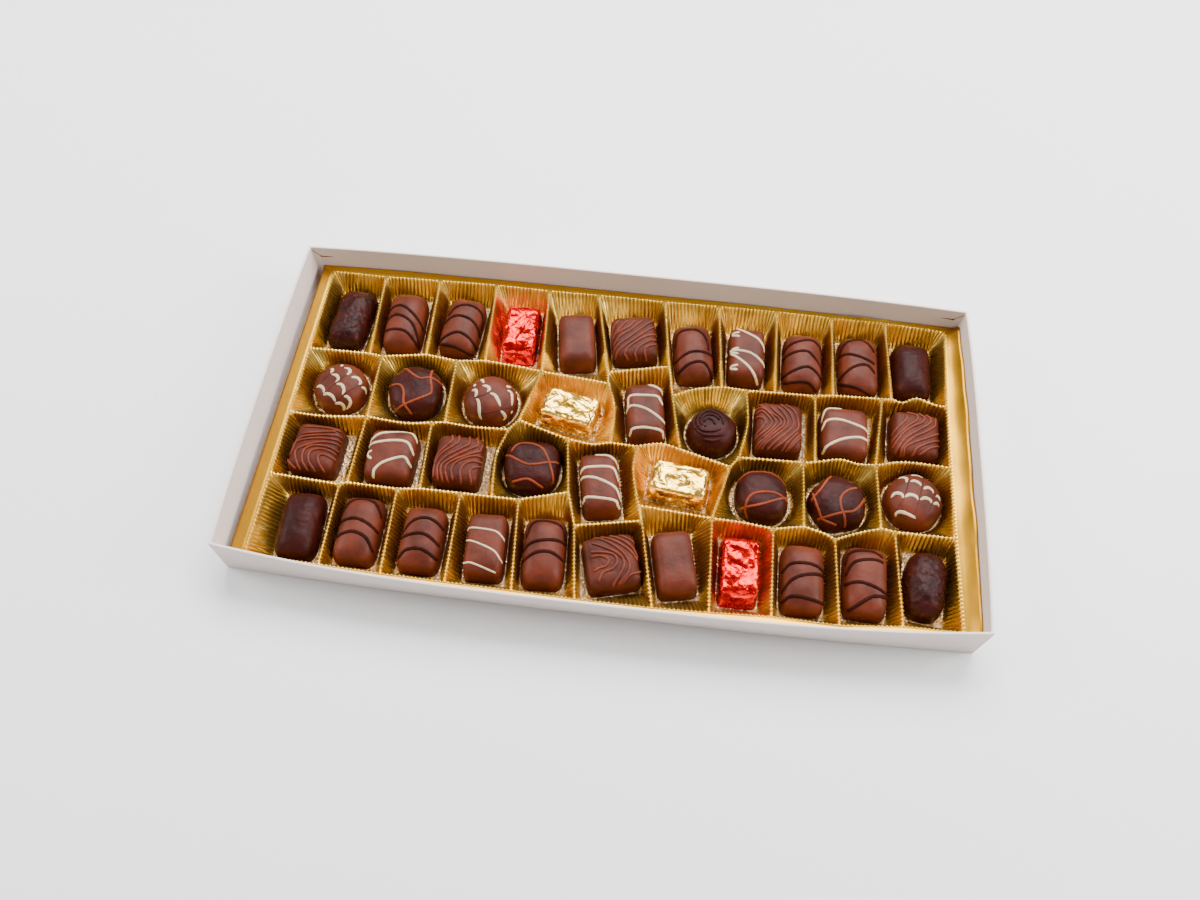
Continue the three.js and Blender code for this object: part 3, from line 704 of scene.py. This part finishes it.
# name, mould, middle, turn in degrees, length
contents = [
    ("lumpy_dark", "bumpy", -152.4, 58.5, -4, 37.5), ("milk_log", "log", -122.5, 59, 2, 37),
    ("milk_log", "log", -90.8, 60, -3, 36), ("red_foil", "redFoil", -57.8, 60, 1, 35),
    ("plain_milk", "slab", -26.9, 58, 9, 34), ("ridged_milk", "ridged", 4, 62.5, 10, 28),
    ("milk_log", "log", 36.8, 58.2, 8, 35.5), ("zigzag_milk", "slab", 65.5, 59.5, 1, 34),
    ("milk_log", "log", 96, 59.5, 0, 35), ("milk_log", "log", 126, 60.5, 1, 36),
    ("smooth_dark", "dark", 154.6, 60.5, 0, 35), ("feathered_round", "button", -147.5, 13.5, 0, 28.8),
    ("lined_dark", "cushion", -107.6, 15.5, 8, 30.5), ("netted_round", "button", -67.5, 15.5, 0, 28.8),
    ("gold_foil", "goldFoil", -25, 13.5, -11, 19), ("striped_milk", "slab", 14.3, 17.3, 9, 34),
    ("swirled_dark", "swirl", 50, 11, 0, 27), ("ridged_milk", "ridged", 84, 15.5, 0, 29),
    ("striped_square", "square", 117.9, 17, 0, 29), ("ridged_milk", "ridged", 154.2, 19.4, -3, 27),
    ("ridged_milk", "ridged", -150, -25.6, -2, 27.5), ("striped_square", "square", -111.5, -24.9, 0, 29),
    ("ridged_milk", "ridged", -77, -23.5, 0, 27.5), ("lined_dark", "cushion", -39.9, -21.5, 4, 28.4),
    ("striped_milk", "slab", -4.2, -27.5, 11, 34), ("gold_foil", "goldFoil", 35, -22, -7, 19),
    ("lined_dark", "cushion", 77, -24, 40, 28.4), ("lined_dark", "cushion", 114.8, -22.8, 16, 28.4),
    ("feathered_round", "button", 152.8, -17.2, 0, 30), ("smooth_dark", "dark", -148, -67, 2, 35),
    ("milk_log", "log", -118.5, -66.5, 0, 35), ("milk_log", "log", -87, -67.5, 0, 34),
    ("striped_milk", "slab", -55.5, -67.5, 3, 34), ("milk_log", "log", -27, -67.2, 3, 36),
    ("ridged_milk", "ridged", 6, -69.2, 16, 27.5), ("plain_milk", "slab", 36.3, -65.4, 12, 33.5),
    ("red_foil", "redFoil", 67.5, -65, 0, 35), ("milk_log", "log", 98, -66, 0, 35),
    ("milk_log", "log", 128.1, -64, -2, 36), ("lumpy_dark", "bumpy", 156.9, -61.7, -8, 35),
]
sweets = [{"label": label, "mould": mould, "middle": (x, y), "turn": math.radians(turn),
           "length": length, "round": mould in ("button", "cushion", "swirl")}
          for label, mould, x, y, turn, length in contents]

# how a line of icing or chocolate, or a painted shade line in a foil fold, lies: finish, width, how far it
# stands up, tapered ends, run down the side
lineKinds = {
    "dark": (darkLine, 1.75, 0.65, False, 2.4), "white": (whiteLine, 1.4, 0.45, False, 3.0),
    "thinWhite": (whiteLine, 0.9, 0.35, False, 3.0), "milk": (milkLine, 1.35, 0.55, False, 3.0),
    # ridge crests in the lighter milk, a painted highlight
    "ridge": (milkRidgeHighlight, 1.3, 0.9, False, 2.6), "crescent": (whiteLine, 1.7, 0.32, True, 0),
    "feather": (milkValleyShadeAndFeather, 0.6, 0.22, True, 0), "swirl": (dark, 1.4, 0.85, False, 1.5),
    # painted shade lines in the foil's folds
    "fold": (foilFoldShade, 0.8, 0.25, True, 0),
}

# lines on each sweet, numbered from the back left corner, in layout millimetres
lines = {
    2: ("dark", [(-132, 64), (-124, 65.5), (-111, 56)], [(-132.5, 56.5), (-126, 59.5), (-117, 55),
         (-110.5, 43)], [(-132, 49.5), (-120, 49.5), (-111, 42)]),
    3: ("dark", [(-99, 63.5), (-95, 69), (-89, 71), (-80, 68), (-77, 62)], [(-99.5, 60), (-93, 63),
         (-85, 61), (-78, 55)], [(-101, 47), (-92, 52), (-85, 50), (-79, 45)], [(-98, 44.5), (-92, 43.5),
         (-82, 40)]),
    6: ("ridge", [(-9.5, 62.7), (-8.5, 66.7), (-5.5, 71.3)], [(-8.5, 58), (-6.2, 63.3), (-3.5, 68),
         (-0.8, 72)], [(-8.2, 60), (-4.8, 63.3), (-0.2, 67.3), (3.8, 72.7)], [(-6.8, 54.7), (-4.2, 60),
         (1.8, 66), (7.8, 73.3)], [(-7.5, 48), (-4.8, 54), (1.8, 61.3), (8.5, 68.7), (12.2, 72.7)],
         [(-5.2, 47.7), (-2.8, 52), (3.2, 58.7), (9.8, 65.3), (13.8, 69.3)], [(0.8, 48), (-0.2, 50),
         (1.8, 54), (8.5, 60.7), (15.2, 64.7)], [(6.5, 48), (5.5, 50.7), (7.2, 54.7), (11.8, 58.7),
         (15.2, 60.7)], [(12.5, 48.7), (10.8, 51.3), (11.2, 54.7), (15.2, 57.3)]),
    7: ("dark", [(26, 62), (28, 68), (37, 70), (43, 65), (45, 58)], [(28, 50), (36, 55), (46, 56)],
         [(30, 43), (36, 48), (43, 49), (49, 42)]),
    8: ("white", [(61, 74), (70, 69), (75, 64)], [(57, 59), (67, 58), (75, 52)], [(57, 56), (66, 49),
         (73, 40)], [(60.5, 72), (56.8, 71), (56.8, 69.5), (60.5, 68.8)], [(60.5, 60.5), (56.5, 59.5),
         (56.5, 57.5), (60.5, 56.5)], [(60.5, 49), (56.8, 48), (56.8, 46.5), (60.5, 46)]),
    9: ("dark", [(85, 66), (92, 69), (100, 71), (106, 67)], [(84, 60), (96, 63), (101, 60), (106, 55)],
         [(84, 47), (90, 50), (98, 53), (105, 49)], [(86, 43), (98, 44), (104, 40)]),
    10: ("dark", [(115, 68), (119, 73), (127, 75), (134, 68)], [(115, 65.5), (122, 64), (134, 60)],
         [(115, 50), (122, 56), (129, 58), (134, 54)], [(115, 46), (124, 44), (132, 41)]),
    12: ("crescent", [(-153.5, 21.2), (-152.2, 19.8), (-152.5, 17.5)], [(-148.5, 25.2), (-148.2, 22.8)],
         [(-146.5, 22.2), (-143.8, 21.8), (-142.8, 19.8), (-143.8, 17.5)], [(-151.8, 16.8), (-149.2, 16.5),
         (-147.5, 14.2), (-148.5, 11.8)], [(-141.2, 16.5), (-138.2, 17.2), (-135.8, 15.2), (-136.5, 13.2)],
         [(-147.8, 11.2), (-145.2, 11.2), (-143.2, 8.5), (-143.3, 5.5)], [(-159.2, 9.2), (-156.5, 9.5),
         (-154.2, 7.8), (-153.5, 5.5)], [(-153.8, 4.5), (-151.2, 5.2), (-148.2, 3.8), (-146.6, 1.2)],
         [(-142.5, 4.8), (-140.5, 4.8), (-138.5, 2.5), (-138.8, -0.2), (-140.2, -2.8)], [(-146.8, 0.2),
         (-143.8, 0.8), (-141.8, -0.8), (-141.5, -3.8)], [(-134.8, 12.5), (-131.8, 12.8), (-129.5, 10.5)]),
    13: ("milk", [(-115, 27), (-110, 22.5), (-105, 20), (-100, 21.5), (-92, 21)], [(-100, 29), (-100, 22),
         (-98, 15), (-99, 11), (-110, 4), (-115, 1)], [(-120, 15), (-115, 15), (-112, 11), (-111, 5),
         (-108, 1)]),
    14: ("crescent", [(-74.2, 24.2), (-72.9, 23.8), (-71.6, 21.5)], [(-76.6, 21.2), (-76.2, 19.2)],
         [(-77.2, 16.5), (-75.2, 16.8), (-74.2, 14.8), (-74.6, 12.5)], [(-71.9, 19.8), (-69.2, 19.5),
         (-67.9, 17.8), (-68.9, 16.2)], [(-73.9, 11.5), (-72.6, 10.5), (-71.6, 7.2), (-70.9, 2.2),
         (-69.9, 0.2)], [(-67.2, 15.5), (-64.6, 14.8), (-62.2, 11.8), (-60.6, 8.8)], [(-58.6, 19.2),
         (-56.2, 18.5), (-55.2, 15.8), (-54.2, 11.2)], [(-59.9, 6.5), (-57.6, 5.2), (-55.9, 3.2),
         (-56.9, 1.5)], [(-59.6, 21.5), (-56.6, 22.8)], [(-52.9, 8.8), (-52.4, 6.8)]),
    # painted shade lines in the foil's folds at both ends
    15: ("fold", [(-39.5, 11), (-38.6, 14.5), (-37.8, 17.5)], [(-38.9, 13.5), (-36.5, 16.2), (-33, 18.6)],
         [(-11, 9), (-12.2, 5.5), (-13.5, 1.5)]),
    16: ("white", [(4, 19), (4.5, 23.5), (12, 24.8), (20, 25), (22, 23)], [(3, 15.5), (7, 17.5), (15, 16),
         (24, 10.5)], [(7.5, 1), (8.5, 3), (15, 4.5), (24, 4), (26.5, 1.5)], [(17, 32), (21, 30.5)]),
    17: ("swirl", [(40.2, 7.2), (38.5, 11.9), (39.5, 17.2), (43.5, 20.9), (49.5, 22.2), (54.8, 20.6),
         (58.8, 15.9)], [(40.2, 7.2), (44.8, 4.2), (50.2, 4.2), (56.2, 5.6)], [(41.5, 8.6), (40.8, 13.2),
         (42.2, 17.9), (46.2, 20.6), (51.5, 19.2), (54.8, 15.9), (55.5, 11.9)], [(41.5, 8.6), (44.8, 6.6),
         (50.2, 6.9), (54.2, 8.9)], [(53.5, 14.6), (50.2, 17.2), (45.5, 17.2), (42.8, 13.9), (43.5, 9.9)],
         [(50.8, 11.2), (49.5, 13.9), (46.2, 14.9), (44.2, 12.2)], [(44.6, 9.6), (45.2, 9.9), (45.8, 9.3)],
         [(44.8, 1.6), (50.2, 1.2), (54.8, 2.9)]),
    18: ("ridge", [(74.1, 26.3), (77.8, 23), (83.1, 19.7), (84.4, 16.3), (81.8, 13), (76.4, 6.3),
         (72.4, 2)], [(82.1, 27), (85.8, 23), (88.1, 18.3), (87.1, 14.3), (81.8, 8.3), (77.1, 3.7),
         (75.8, 2)], [(88.4, 27.7), (91.8, 24.3), (93.4, 19.7), (93.8, 15), (91.1, 11), (87.1, 6.3),
         (84.4, 3.7), (82.4, 2)], [(72.5, 22.7), (74.4, 23), (77.8, 19.7), (79.4, 16.3), (77.8, 12.3),
         (72.4, 7)], [(72, 19.7), (74.4, 19), (76.4, 16.3), (74.4, 12.3), (72, 9)], [(93.8, 12.3),
         (90.4, 7.7), (87.8, 4.3), (86.8, 2)], [(94.1, 8), (90.4, 3)],
         [(85.4, 27.6), (88.8, 23.7), (90.9, 19), (90.5, 14.7), (86.5, 9.7), (82, 5), (79.4, 2)],
         [(78.2, 26.8), (81.8, 23), (85.9, 19), (86, 15.3), (81.7, 10.6), (76.8, 5), (74.2, 2)],
         [(94.2, 10), (91, 5.5), (89, 2)],
         [(71.5, 25), (75, 24.6), (79.8, 20.4), (81.9, 16.3), (79.6, 12.3), (74.4, 6)]),
    19: ("white", [(105, 25), (108, 29.5), (113, 30.3)], [(105.5, 18.5), (108, 21.5), (116, 22.2),
         (128, 18.5)], [(106, 3), (108.5, 6), (116, 10.5), (124, 12.5), (129, 12)]),
    20: ("ridge", [(149.4, 29.8), (148.4, 26.5), (144.4, 21.8), (142, 18.8)], [(151.7, 31.8),
         (154.7, 30.5), (154.4, 27.2), (149.7, 23.2), (144.4, 17.2), (142, 14)], [(157, 31.2),
         (158.7, 29.2), (157, 25.8), (152.4, 23.2), (147, 18.5), (142.4, 11.2)], [(161, 30.5), (162, 28.5),
         (160.4, 25.2), (154.4, 20.5), (147.7, 15.2), (143.7, 8.5)], [(164.4, 27.8), (163.7, 24.5),
         (159, 20.5), (151.7, 15.8), (146.4, 9.8), (145.9, 7)], [(164.7, 19.8), (159, 16.5), (152.4, 13.2),
         (147.7, 9.8), (147.2, 7)], [(164.7, 15.8), (159, 13.2), (153.7, 9.8), (152.4, 7.2)],
         [(164.7, 12.5), (160.4, 10.5), (157, 7.8)]),
    21: ("ridge", [(-158.2, -15.1), (-147.5, -14.4), (-140.8, -15.4)], [(-158.2, -19.4), (-150.8, -17.8),
         (-140.8, -16.1)], [(-160.8, -24.8), (-157.5, -21.4), (-149.5, -19.4), (-138.8, -18.4)],
         [(-161.3, -30.1), (-160.2, -24.8), (-154.8, -22.4), (-147.5, -21.1), (-138.8, -21.1)],
         [(-161.5, -36.1), (-158.8, -38.4)], [(-155.8, -38.2), (-158.2, -33.4), (-158.8, -29.4),
         (-154.2, -26.1), (-147.5, -23.4), (-138.8, -23.4)], [(-151.8, -38.4), (-154.2, -34.8),
         (-154.8, -29.4), (-151.5, -26.1), (-145.5, -25.4), (-138.8, -26.8)], [(-147.8, -38.4),
         (-150.8, -34.8), (-151.5, -30.1), (-148.8, -27.8), (-144.2, -27.4), (-139.5, -28.8)],
         [(-142.8, -38.4), (-144.8, -36.1), (-146.5, -32.1), (-144.2, -30.4), (-139.2, -31.8)]),
    22: ("white", [(-122.5, -17.5), (-118, -14), (-107, -10.8), (-103, -11), (-100, -13.5)], [(-123, -21),
         (-112, -18), (-104, -18), (-100, -22)], [(-117.5, -38), (-117, -35.5), (-113, -31), (-104, -27),
         (-100, -30)], [(-121, -25), (-123, -26), (-123, -28), (-120, -30)]),
    23: ("ridge", [(-82.2, -11.3), (-81.6, -13.9), (-83.9, -17.3), (-87.2, -21.9), (-88.4, -25.3)],
         [(-78.6, -11.3), (-78.2, -14.6), (-81.2, -17.9), (-85.9, -22.6), (-88.3, -27.9), (-87.9, -33.9)],
         [(-72.9, -11.3), (-72.6, -15.3), (-76.6, -18.6), (-83.2, -23.9), (-86.3, -29.3), (-85.5, -35)],
         [(-68.9, -11.3), (-67.9, -15.3), (-71.2, -17.9), (-77.9, -22.6), (-83.2, -27.3), (-84.6, -30.6),
         (-83.2, -35.8)], [(-65.9, -15.9), (-66.6, -18.6), (-72.6, -21.9), (-79.2, -25.9), (-81.8, -29),
         (-81.9, -32), (-80.5, -36)], [(-65.2, -21.3), (-71.2, -22.6), (-77.2, -26.6), (-78.9, -30.6),
         (-77.9, -34.6)], [(-65.1, -24.6), (-69.9, -25.3), (-73.2, -27.9), (-74.2, -31.3), (-73.2, -35.8)],
         [(-65.1, -27.3), (-67.9, -28.6), (-69.2, -31.3), (-67.9, -35.8)]),
    24: ("milk", [(-51, -17), (-49, -13), (-46, -11), (-40, -11), (-35, -14), (-31, -20), (-27, -29)],
         [(-52, -19), (-41, -23.5), (-30, -20.5), (-27, -19.5)], [(-46, -33), (-40, -31.5), (-34, -34)]),
    25: ("white", [(-6, -11.8), (-2, -12), (2, -14)], [(-14.5, -22), (-12, -21), (-3, -19.5), (2, -20),
         (5, -24)], [(-14.5, -27), (-6, -27), (4, -31), (7.5, -36)], [(-11.5, -40.5), (-10, -38.5),
         (4, -38.5), (7, -41)]),
    # painted shade lines in the foil's folds at both ends
    26: ("fold", [(20.8, -25), (20.4, -21.5), (21.4, -18)], [(48.6, -19), (49.2, -23), (48.6, -27)]),
    27: ("milk", [(65, -15), (70, -12), (77, -10.5), (88, -15)], [(66, -34), (70, -33), (77, -31),
         (88, -26)], [(68, -38), (68, -34), (70, -28), (75, -25), (82, -24.5), (89.5, -27)]),
    28: ("milk", [(101.5, -23), (105, -19), (109.5, -11)], [(101.5, -23), (104, -30), (106, -35),
         (111, -37)], [(105, -35), (116, -31), (122, -29), (127.5, -22)], [(118.5, -37), (117, -33),
         (115, -28), (115, -23), (118, -19), (123.5, -16)]),
    29: ("crescent", [(144, -6.5), (146, -5.8), (148, -7.5), (147.7, -10.2)], [(149.7, -9.5), (152, -8.8),
         (154.4, -10.2), (154.7, -11.5)], [(156, -13.2), (158.4, -11.8), (160.7, -13.2), (161, -14.8)],
         [(162.4, -16.2), (164, -15.5), (165.5, -17.5)], [(139.7, -18.5), (142, -16.5), (145, -17.2),
         (146, -19.5)], [(146.4, -18.8), (149, -17.2), (152, -17.8), (153, -19.8)], [(154, -19.5),
         (156.4, -18.2), (159, -18.8), (160, -20.8)], [(160.7, -20.8), (163, -19.8), (164.7, -21.2)],
         [(141.7, -29), (142.4, -27.2), (144.7, -26.5), (148.7, -27.8), (152, -29.3)], [(150.7, -4.2),
         (154, -3.5), (157, -4.5)]),
    31: ("dark", [(-128, -58), (-122, -51.5), (-114, -52), (-109, -57)], [(-128, -65), (-119, -63),
         (-108.5, -67)], [(-128, -73), (-120, -70), (-113, -72), (-109, -77)]),
    32: ("dark", [(-96, -65), (-91, -60), (-85, -58.5), (-78, -61)], [(-96, -69), (-86, -67),
         (-78, -70.5)], [(-95, -79), (-92, -76), (-85, -75), (-78, -78)]),
    33: ("thinWhite", [(-64.5, -60.5), (-52, -61), (-47, -63.5)], [(-64.5, -67.5), (-58, -69), (-50, -72),
         (-46, -76)], [(-64, -80), (-60, -79.8), (-50, -82.5)]),
    34: ("dark", [(-36, -59.5), (-34, -54), (-28, -52), (-20, -54), (-17.5, -58)], [(-37, -68), (-33, -65),
         (-26, -63), (-17.5, -62)], [(-36, -74), (-30, -70), (-24, -69), (-17.5, -71)]),
    35: ("ridge", [(-3, -57.9), (4.4, -60.6), (11, -64.6), (15, -69.9), (15, -74.6), (12, -79.8)],
         [(1, -57.3), (7, -59.3), (13.7, -62.6), (17.7, -65.9)], [(5.7, -56.5), (11, -58.6), (16.4, -61.9),
         (18.6, -64)], [(10.4, -56), (14.4, -57.6)], [(-5, -61.5), (2, -63.2), (8, -65.2), (12, -68.6),
         (12.2, -73.2), (9, -80.6)], [(-5, -66.6), (1.7, -65.9), (7, -66.6), (9, -69.9), (7, -73.9),
         (2.7, -76.6), (1, -81.6)], [(-4.3, -69.3), (0.4, -67.9), (4.4, -69.3), (4, -72.6), (0.4, -74.6),
         (-2, -76.6)], [(20.3, -73.8), (16.4, -75.9), (13.4, -79.4)]),
    38: ("dark", [(88, -63), (92, -60.5), (100, -60), (108, -61.5)], [(88, -74), (92, -69), (98, -66),
         (108, -64)], [(88, -80), (93, -77), (107, -78.5)]),
    39: ("dark", [(118, -53.5), (120, -50.3), (130, -49), (136, -52)], [(118, -60.5), (122, -56),
         (130, -54), (136, -54.5)], [(118, -67), (125, -66.5), (137, -70)], [(120, -80), (124, -77),
         (130, -73), (137, -72)]),
}
feathers = {
    12: [[(-156.8, 11.2), (-152.8, 17.2)], [(-152.2, 6.2), (-147.8, 12.5), (-143.8, 17.8)], [(-145.2, 1.8),
         (-142.8, 5.8), (-137.8, 11.2), (-135.8, 13.8)]],
    14: [[(-74.9, 11.8), (-67.5, 15.5)], [(-70.9, 3.2), (-62.9, 5.8), (-56.9, 8.8), (-52.9, 9.8)]],
    29: [[(150, -4.5), (148.7, -10.5), (146, -19.8), (143.4, -23.8)], [(157.4, -4.5), (155.4, -11.8),
         (153.4, -19.8), (151.4, -27.2)], [(163, -9), (161.4, -14.5), (159.7, -21.2), (158, -25.2)]],
}


class SweetForm:
    # the outside of a moulded sweet: a rounded plan, and a rounded section from rim to top
    def __init__(self, sweet, seed):
        self.mould = mould = {**moulds[sweet["mould"]], **oddOnes.get(seed, {})}
        self.halfWidth, self.halfLength = mould["width"] / 2, sweet["length"] / 2
        self.height, self.plan, self.section = mould["height"], mould["plan"], mould["section"]
        angle = np.linspace(0, math.pi / 2, 160)
        self.reach = np.sin(angle) ** (2 / self.section)
        self.rise = self.height * np.cos(angle) ** (2 / self.section)
        self.seed = Vector((seed * 7.3, seed * 3.1, seed * 1.7))
        self.middle, self.turn = sweet["middle"], sweet["turn"]

    def rimPoint(self, x, y):
        wide = 1 + self.mould.get("taper", 0) * y / self.halfLength
        n = self.plan
        size = (abs(x / self.halfWidth / wide) ** n + abs(y / self.halfLength) ** n) ** (1 / n)
        if "corners" in self.mould:
            count, reach, where = self.mould["corners"]
            size /= 1 + reach * math.cos(count * (math.atan2(y, x) - math.radians(where)))
        return (x / size, y / size, size) if size > 1e-9 else (self.halfWidth, 0, 0)

    def lengths(self, radius):
        parts = np.hypot(np.diff(self.reach) * radius, np.diff(self.rise))
        return np.concatenate([[0], np.cumsum(parts)])

    def normal(self, p):
        a, b, n = self.halfWidth, self.halfLength, self.plan
        size = max(1e-6, (abs(p.x / a) ** n + abs(p.y / b) ** n) ** (1 / n))
        side = size ** (self.section - n)
        flat = Vector((side * abs(p.x / a) ** (n - 1) * math.copysign(1 / a, p.x),
                       side * abs(p.y / b) ** (n - 1) * math.copysign(1 / b, p.y),
                       max(0, p.z / self.height) ** (self.section - 1) / self.height + 1e-6))
        return flat.normalized()

    def place(self, rimX, rimY, reach, rise):
        mould, high = self.mould, rise / self.height
        share = reach * (1 - mould.get("draft", 0) * high)
        p = Vector((rimX * share, rimY * share * (1 - mould.get("endSlope", 0) * high), rise))
        out = self.normal(p)
        q = p + self.seed
        swell = mould["swell"] * noise.noise(q * 0.16)
        if mould["body"] in ("dark", "roughDark"):
            swell += 0.35 * mould["swell"] * noise.noise(q * 0.5)
        if "lumps" in mould:
            swell += mould["lumps"] * (noise.noise(q * 0.38) + 0.6 * max(0, noise.noise(q * 0.95)))
        if "crumple" in mould:
            swell -= mould["crumple"] * (1.1 * abs(noise.noise(q * 0.13)) + 0.55 * abs(noise.noise(q * 0.33))
                                         + 0.2 * abs(noise.noise(q * 0.9)) - 0.25)
        p.z *= 1 - mould.get("arch", 0) * (p.x / self.halfWidth) ** 2  # rounded over from side to side
        return p + out * swell * min(1, rise / 1.5)

    def onTop(self, x, y):
        # the surface point that a line at (x, y) lies on; past the rim it runs down the side
        rimX, rimY, size = self.rimPoint(x, y)
        radius = math.hypot(rimX, rimY)
        lengths = self.lengths(radius)
        far = min(size * radius, lengths[-1] * 0.985)
        return self.place(rimX, rimY, np.interp(far, lengths, self.reach), np.interp(far, lengths, self.rise))

    def toLocal(self, point):
        x, y = point[0] - self.middle[0], point[1] - self.middle[1]
        c, s = math.cos(-self.turn), math.sin(-self.turn)
        return np.array((x * c - y * s, x * s + y * c))


def makeBody(form, cells):
    bm = bmesh.new()
    lengthwise = max(cells, round(cells * form.halfLength / form.halfWidth / 2) * 2)
    bmesh.ops.create_grid(bm, x_segments=cells, y_segments=lengthwise, size=1)
    lengths = form.lengths((form.halfWidth + form.halfLength) / 2)
    lengths /= lengths[-1]
    for vert in bm.verts:
        u, v = vert.co.x, vert.co.y
        ring = max(abs(u), abs(v))
        if ring < 1e-6:
            rimX, rimY = form.halfWidth, 0
        else:
            rimX, rimY, _ = form.rimPoint(u / ring * form.halfWidth, v / ring * form.halfLength)
        reach = np.interp(ring, lengths, form.reach)
        rise = np.interp(ring, lengths, form.rise)
        vert.co = form.place(rimX, rimY, reach, rise)
    rim = [edge for edge in bm.edges if edge.is_boundary]
    bmesh.ops.contextual_create(bm, geom=rim)
    return bm


def layLine(form, kind, points, seed):
    material, width, height, tapered, runDown = lineKinds[kind]
    local = [form.toLocal(p) for p in points]
    if not tapered:  # a line that reaches the side runs on down it
        for end, near in ((0, 1), (-1, -2)):
            if form.rimPoint(*local[end])[2] > 0.8:
                away = local[end] - local[near]
                away = local[end] + away / np.linalg.norm(away) * runDown
                local.insert(0, away) if end == 0 else local.append(away)
    path = curveThrough(local, 0.5) + [local[-1]]
    spots = [form.onTop(x, y) for x, y in path]
    rings = []
    for i, spot in enumerate(spots):
        share = i / (len(spots) - 1)
        ahead = (spots[min(i + 1, len(spots) - 1)] - spots[max(i - 1, 0)]).normalized()
        up = form.normal(spot)
        across = ahead.cross(up).normalized()
        up = across.cross(ahead)
        size = 1 + 0.18 * noise.noise(Vector((i * 0.3, seed, 2.0)))
        if tapered:
            size *= 0.55 + 0.45 * math.sin(math.pi * min(1, max(0, share * 0.9 + 0.08)))
        size *= min(1, 0.35 + 0.4 * min(i, len(spots) - 1 - i))
        rings.append([spot + across * math.cos(a) * width / 2 * size
                      + up * (math.sin(a) * 0.75 + 0.1) * height * size
                      for a in (k * math.pi / 4 for k in range(8))])
    bm = bmesh.new()
    skinRings(bm, rings, True, True)
    bmesh.ops.recalc_face_normals(bm, faces=bm.faces)
    return bm, material


bodyFinish = {"milk": (milk, "milk_chocolate"), "dark": (dark, "dark_chocolate"),
              "milkValleyShadeAndFeather": (milkValleyShadeAndFeather, "milk_chocolate"), "roughDark": (roughDark, "dark_chocolate"),
              "redFoil": (redFoil, "red_foil"), "goldFoil": (goldFoil, "gold_foil")}


def makeSweet(number, sweet):
    form = SweetForm(sweet, number)
    isFoil = "crumple" in form.mould
    bm = makeBody(form, 56 if isFoil else 48)
    material, slotName = bodyFinish[form.mould["body"]]
    materials = [material]
    todo = [(lines[number][0], p) for p in lines[number][1:]] if number in lines else []
    todo += [("feather", p) for p in feathers.get(number, [])]
    for i, (kind, points) in enumerate(todo):
        part, lineMaterial = layLine(form, kind, points, number * 20 + i)
        if lineMaterial not in materials:
            materials.append(lineMaterial)
        joinInto(bm, part, materials.index(lineMaterial))
    x, y = sweet["middle"]
    bmesh.ops.rotate(bm, verts=bm.verts, cent=(0, 0, 0), matrix=Matrix.Rotation(sweet["turn"], 3, "Z"))
    bmesh.ops.translate(bm, verts=bm.verts, vec=(x, y, sweetBase))
    node = f"praline_{number:02d}_{sweet['label']}"
    finishPiece(bm, f"sweet{number:02d}", materials, [node], 20 if isFoil else 70)


makeInsert()
for number, sweet in enumerate(sweets, 1):
    makeSweet(number, sweet)
print("sweets done")

# the camera, in metres
view = {
    "place": (0.0164, -0.2436, 0.4445), "forward": (-0.0462, 0.4793, -0.8764),
    "right": (0.9931, 0.1165, 0.0114), "lens": 29.08,
}
softboxes = {  # place and size in metres, power in watts
    "backSoftbox": ((0.1, 0.7, 1.0), (1.1, 0.7), 38),
    "rightSoftbox": ((0.95, 0.1, 0.65), (0.5, 0.5), 15),
    "leftSoftbox": ((-0.95, 0.1, 0.65), (0.5, 0.5), 10),
}


def makeFloor():
    bm = bmesh.new()
    bmesh.ops.create_grid(bm, x_segments=8, y_segments=8, size=3)
    mesh = bpy.data.meshes.new("floor")
    bm.to_mesh(mesh)
    bm.free()
    mesh.materials.append(makeFloorPaint())
    floor = bpy.data.objects.new("floor", mesh)
    bpy.context.collection.objects.link(floor)


def addSoftbox(name, place, size, power):
    # aimed at the middle of the box
    data = bpy.data.lights.new(name, "AREA")
    data.shape, data.size, data.size_y = "RECTANGLE", size[0], size[1]
    data.energy = power
    lamp = bpy.data.objects.new(name, data)
    lamp.location = place
    lamp.rotation_euler = (-Vector(place)).to_track_quat("-Z", "Y").to_euler()
    bpy.context.collection.objects.link(lamp)


def makeCamera():
    forward, right = Vector(view["forward"]).normalized(), Vector(view["right"]).normalized()
    up = right.cross(forward).normalized()
    data = bpy.data.cameras.new("camera")
    data.lens, data.sensor_width, data.sensor_fit = view["lens"], 36, "HORIZONTAL"
    data.clip_start, data.clip_end = 0.01, 20
    camera = bpy.data.objects.new("camera", data)
    turn = Matrix((right, up, -forward)).transposed().to_4x4()
    camera.matrix_world = Matrix.Translation(view["place"]) @ turn
    bpy.context.collection.objects.link(camera)
    bpy.context.scene.camera = camera


makeFloor()
world = bpy.data.worlds.new("studio")
world.use_nodes = True
world.node_tree.nodes["Background"].inputs["Color"].default_value = (1, 1, 1, 1)
world.node_tree.nodes["Background"].inputs["Strength"].default_value = 0.5
bpy.context.scene.world = world
for name, (place, size, power) in softboxes.items():
    addSoftbox(name, place, size, power)
makeCamera()

print("scene done")
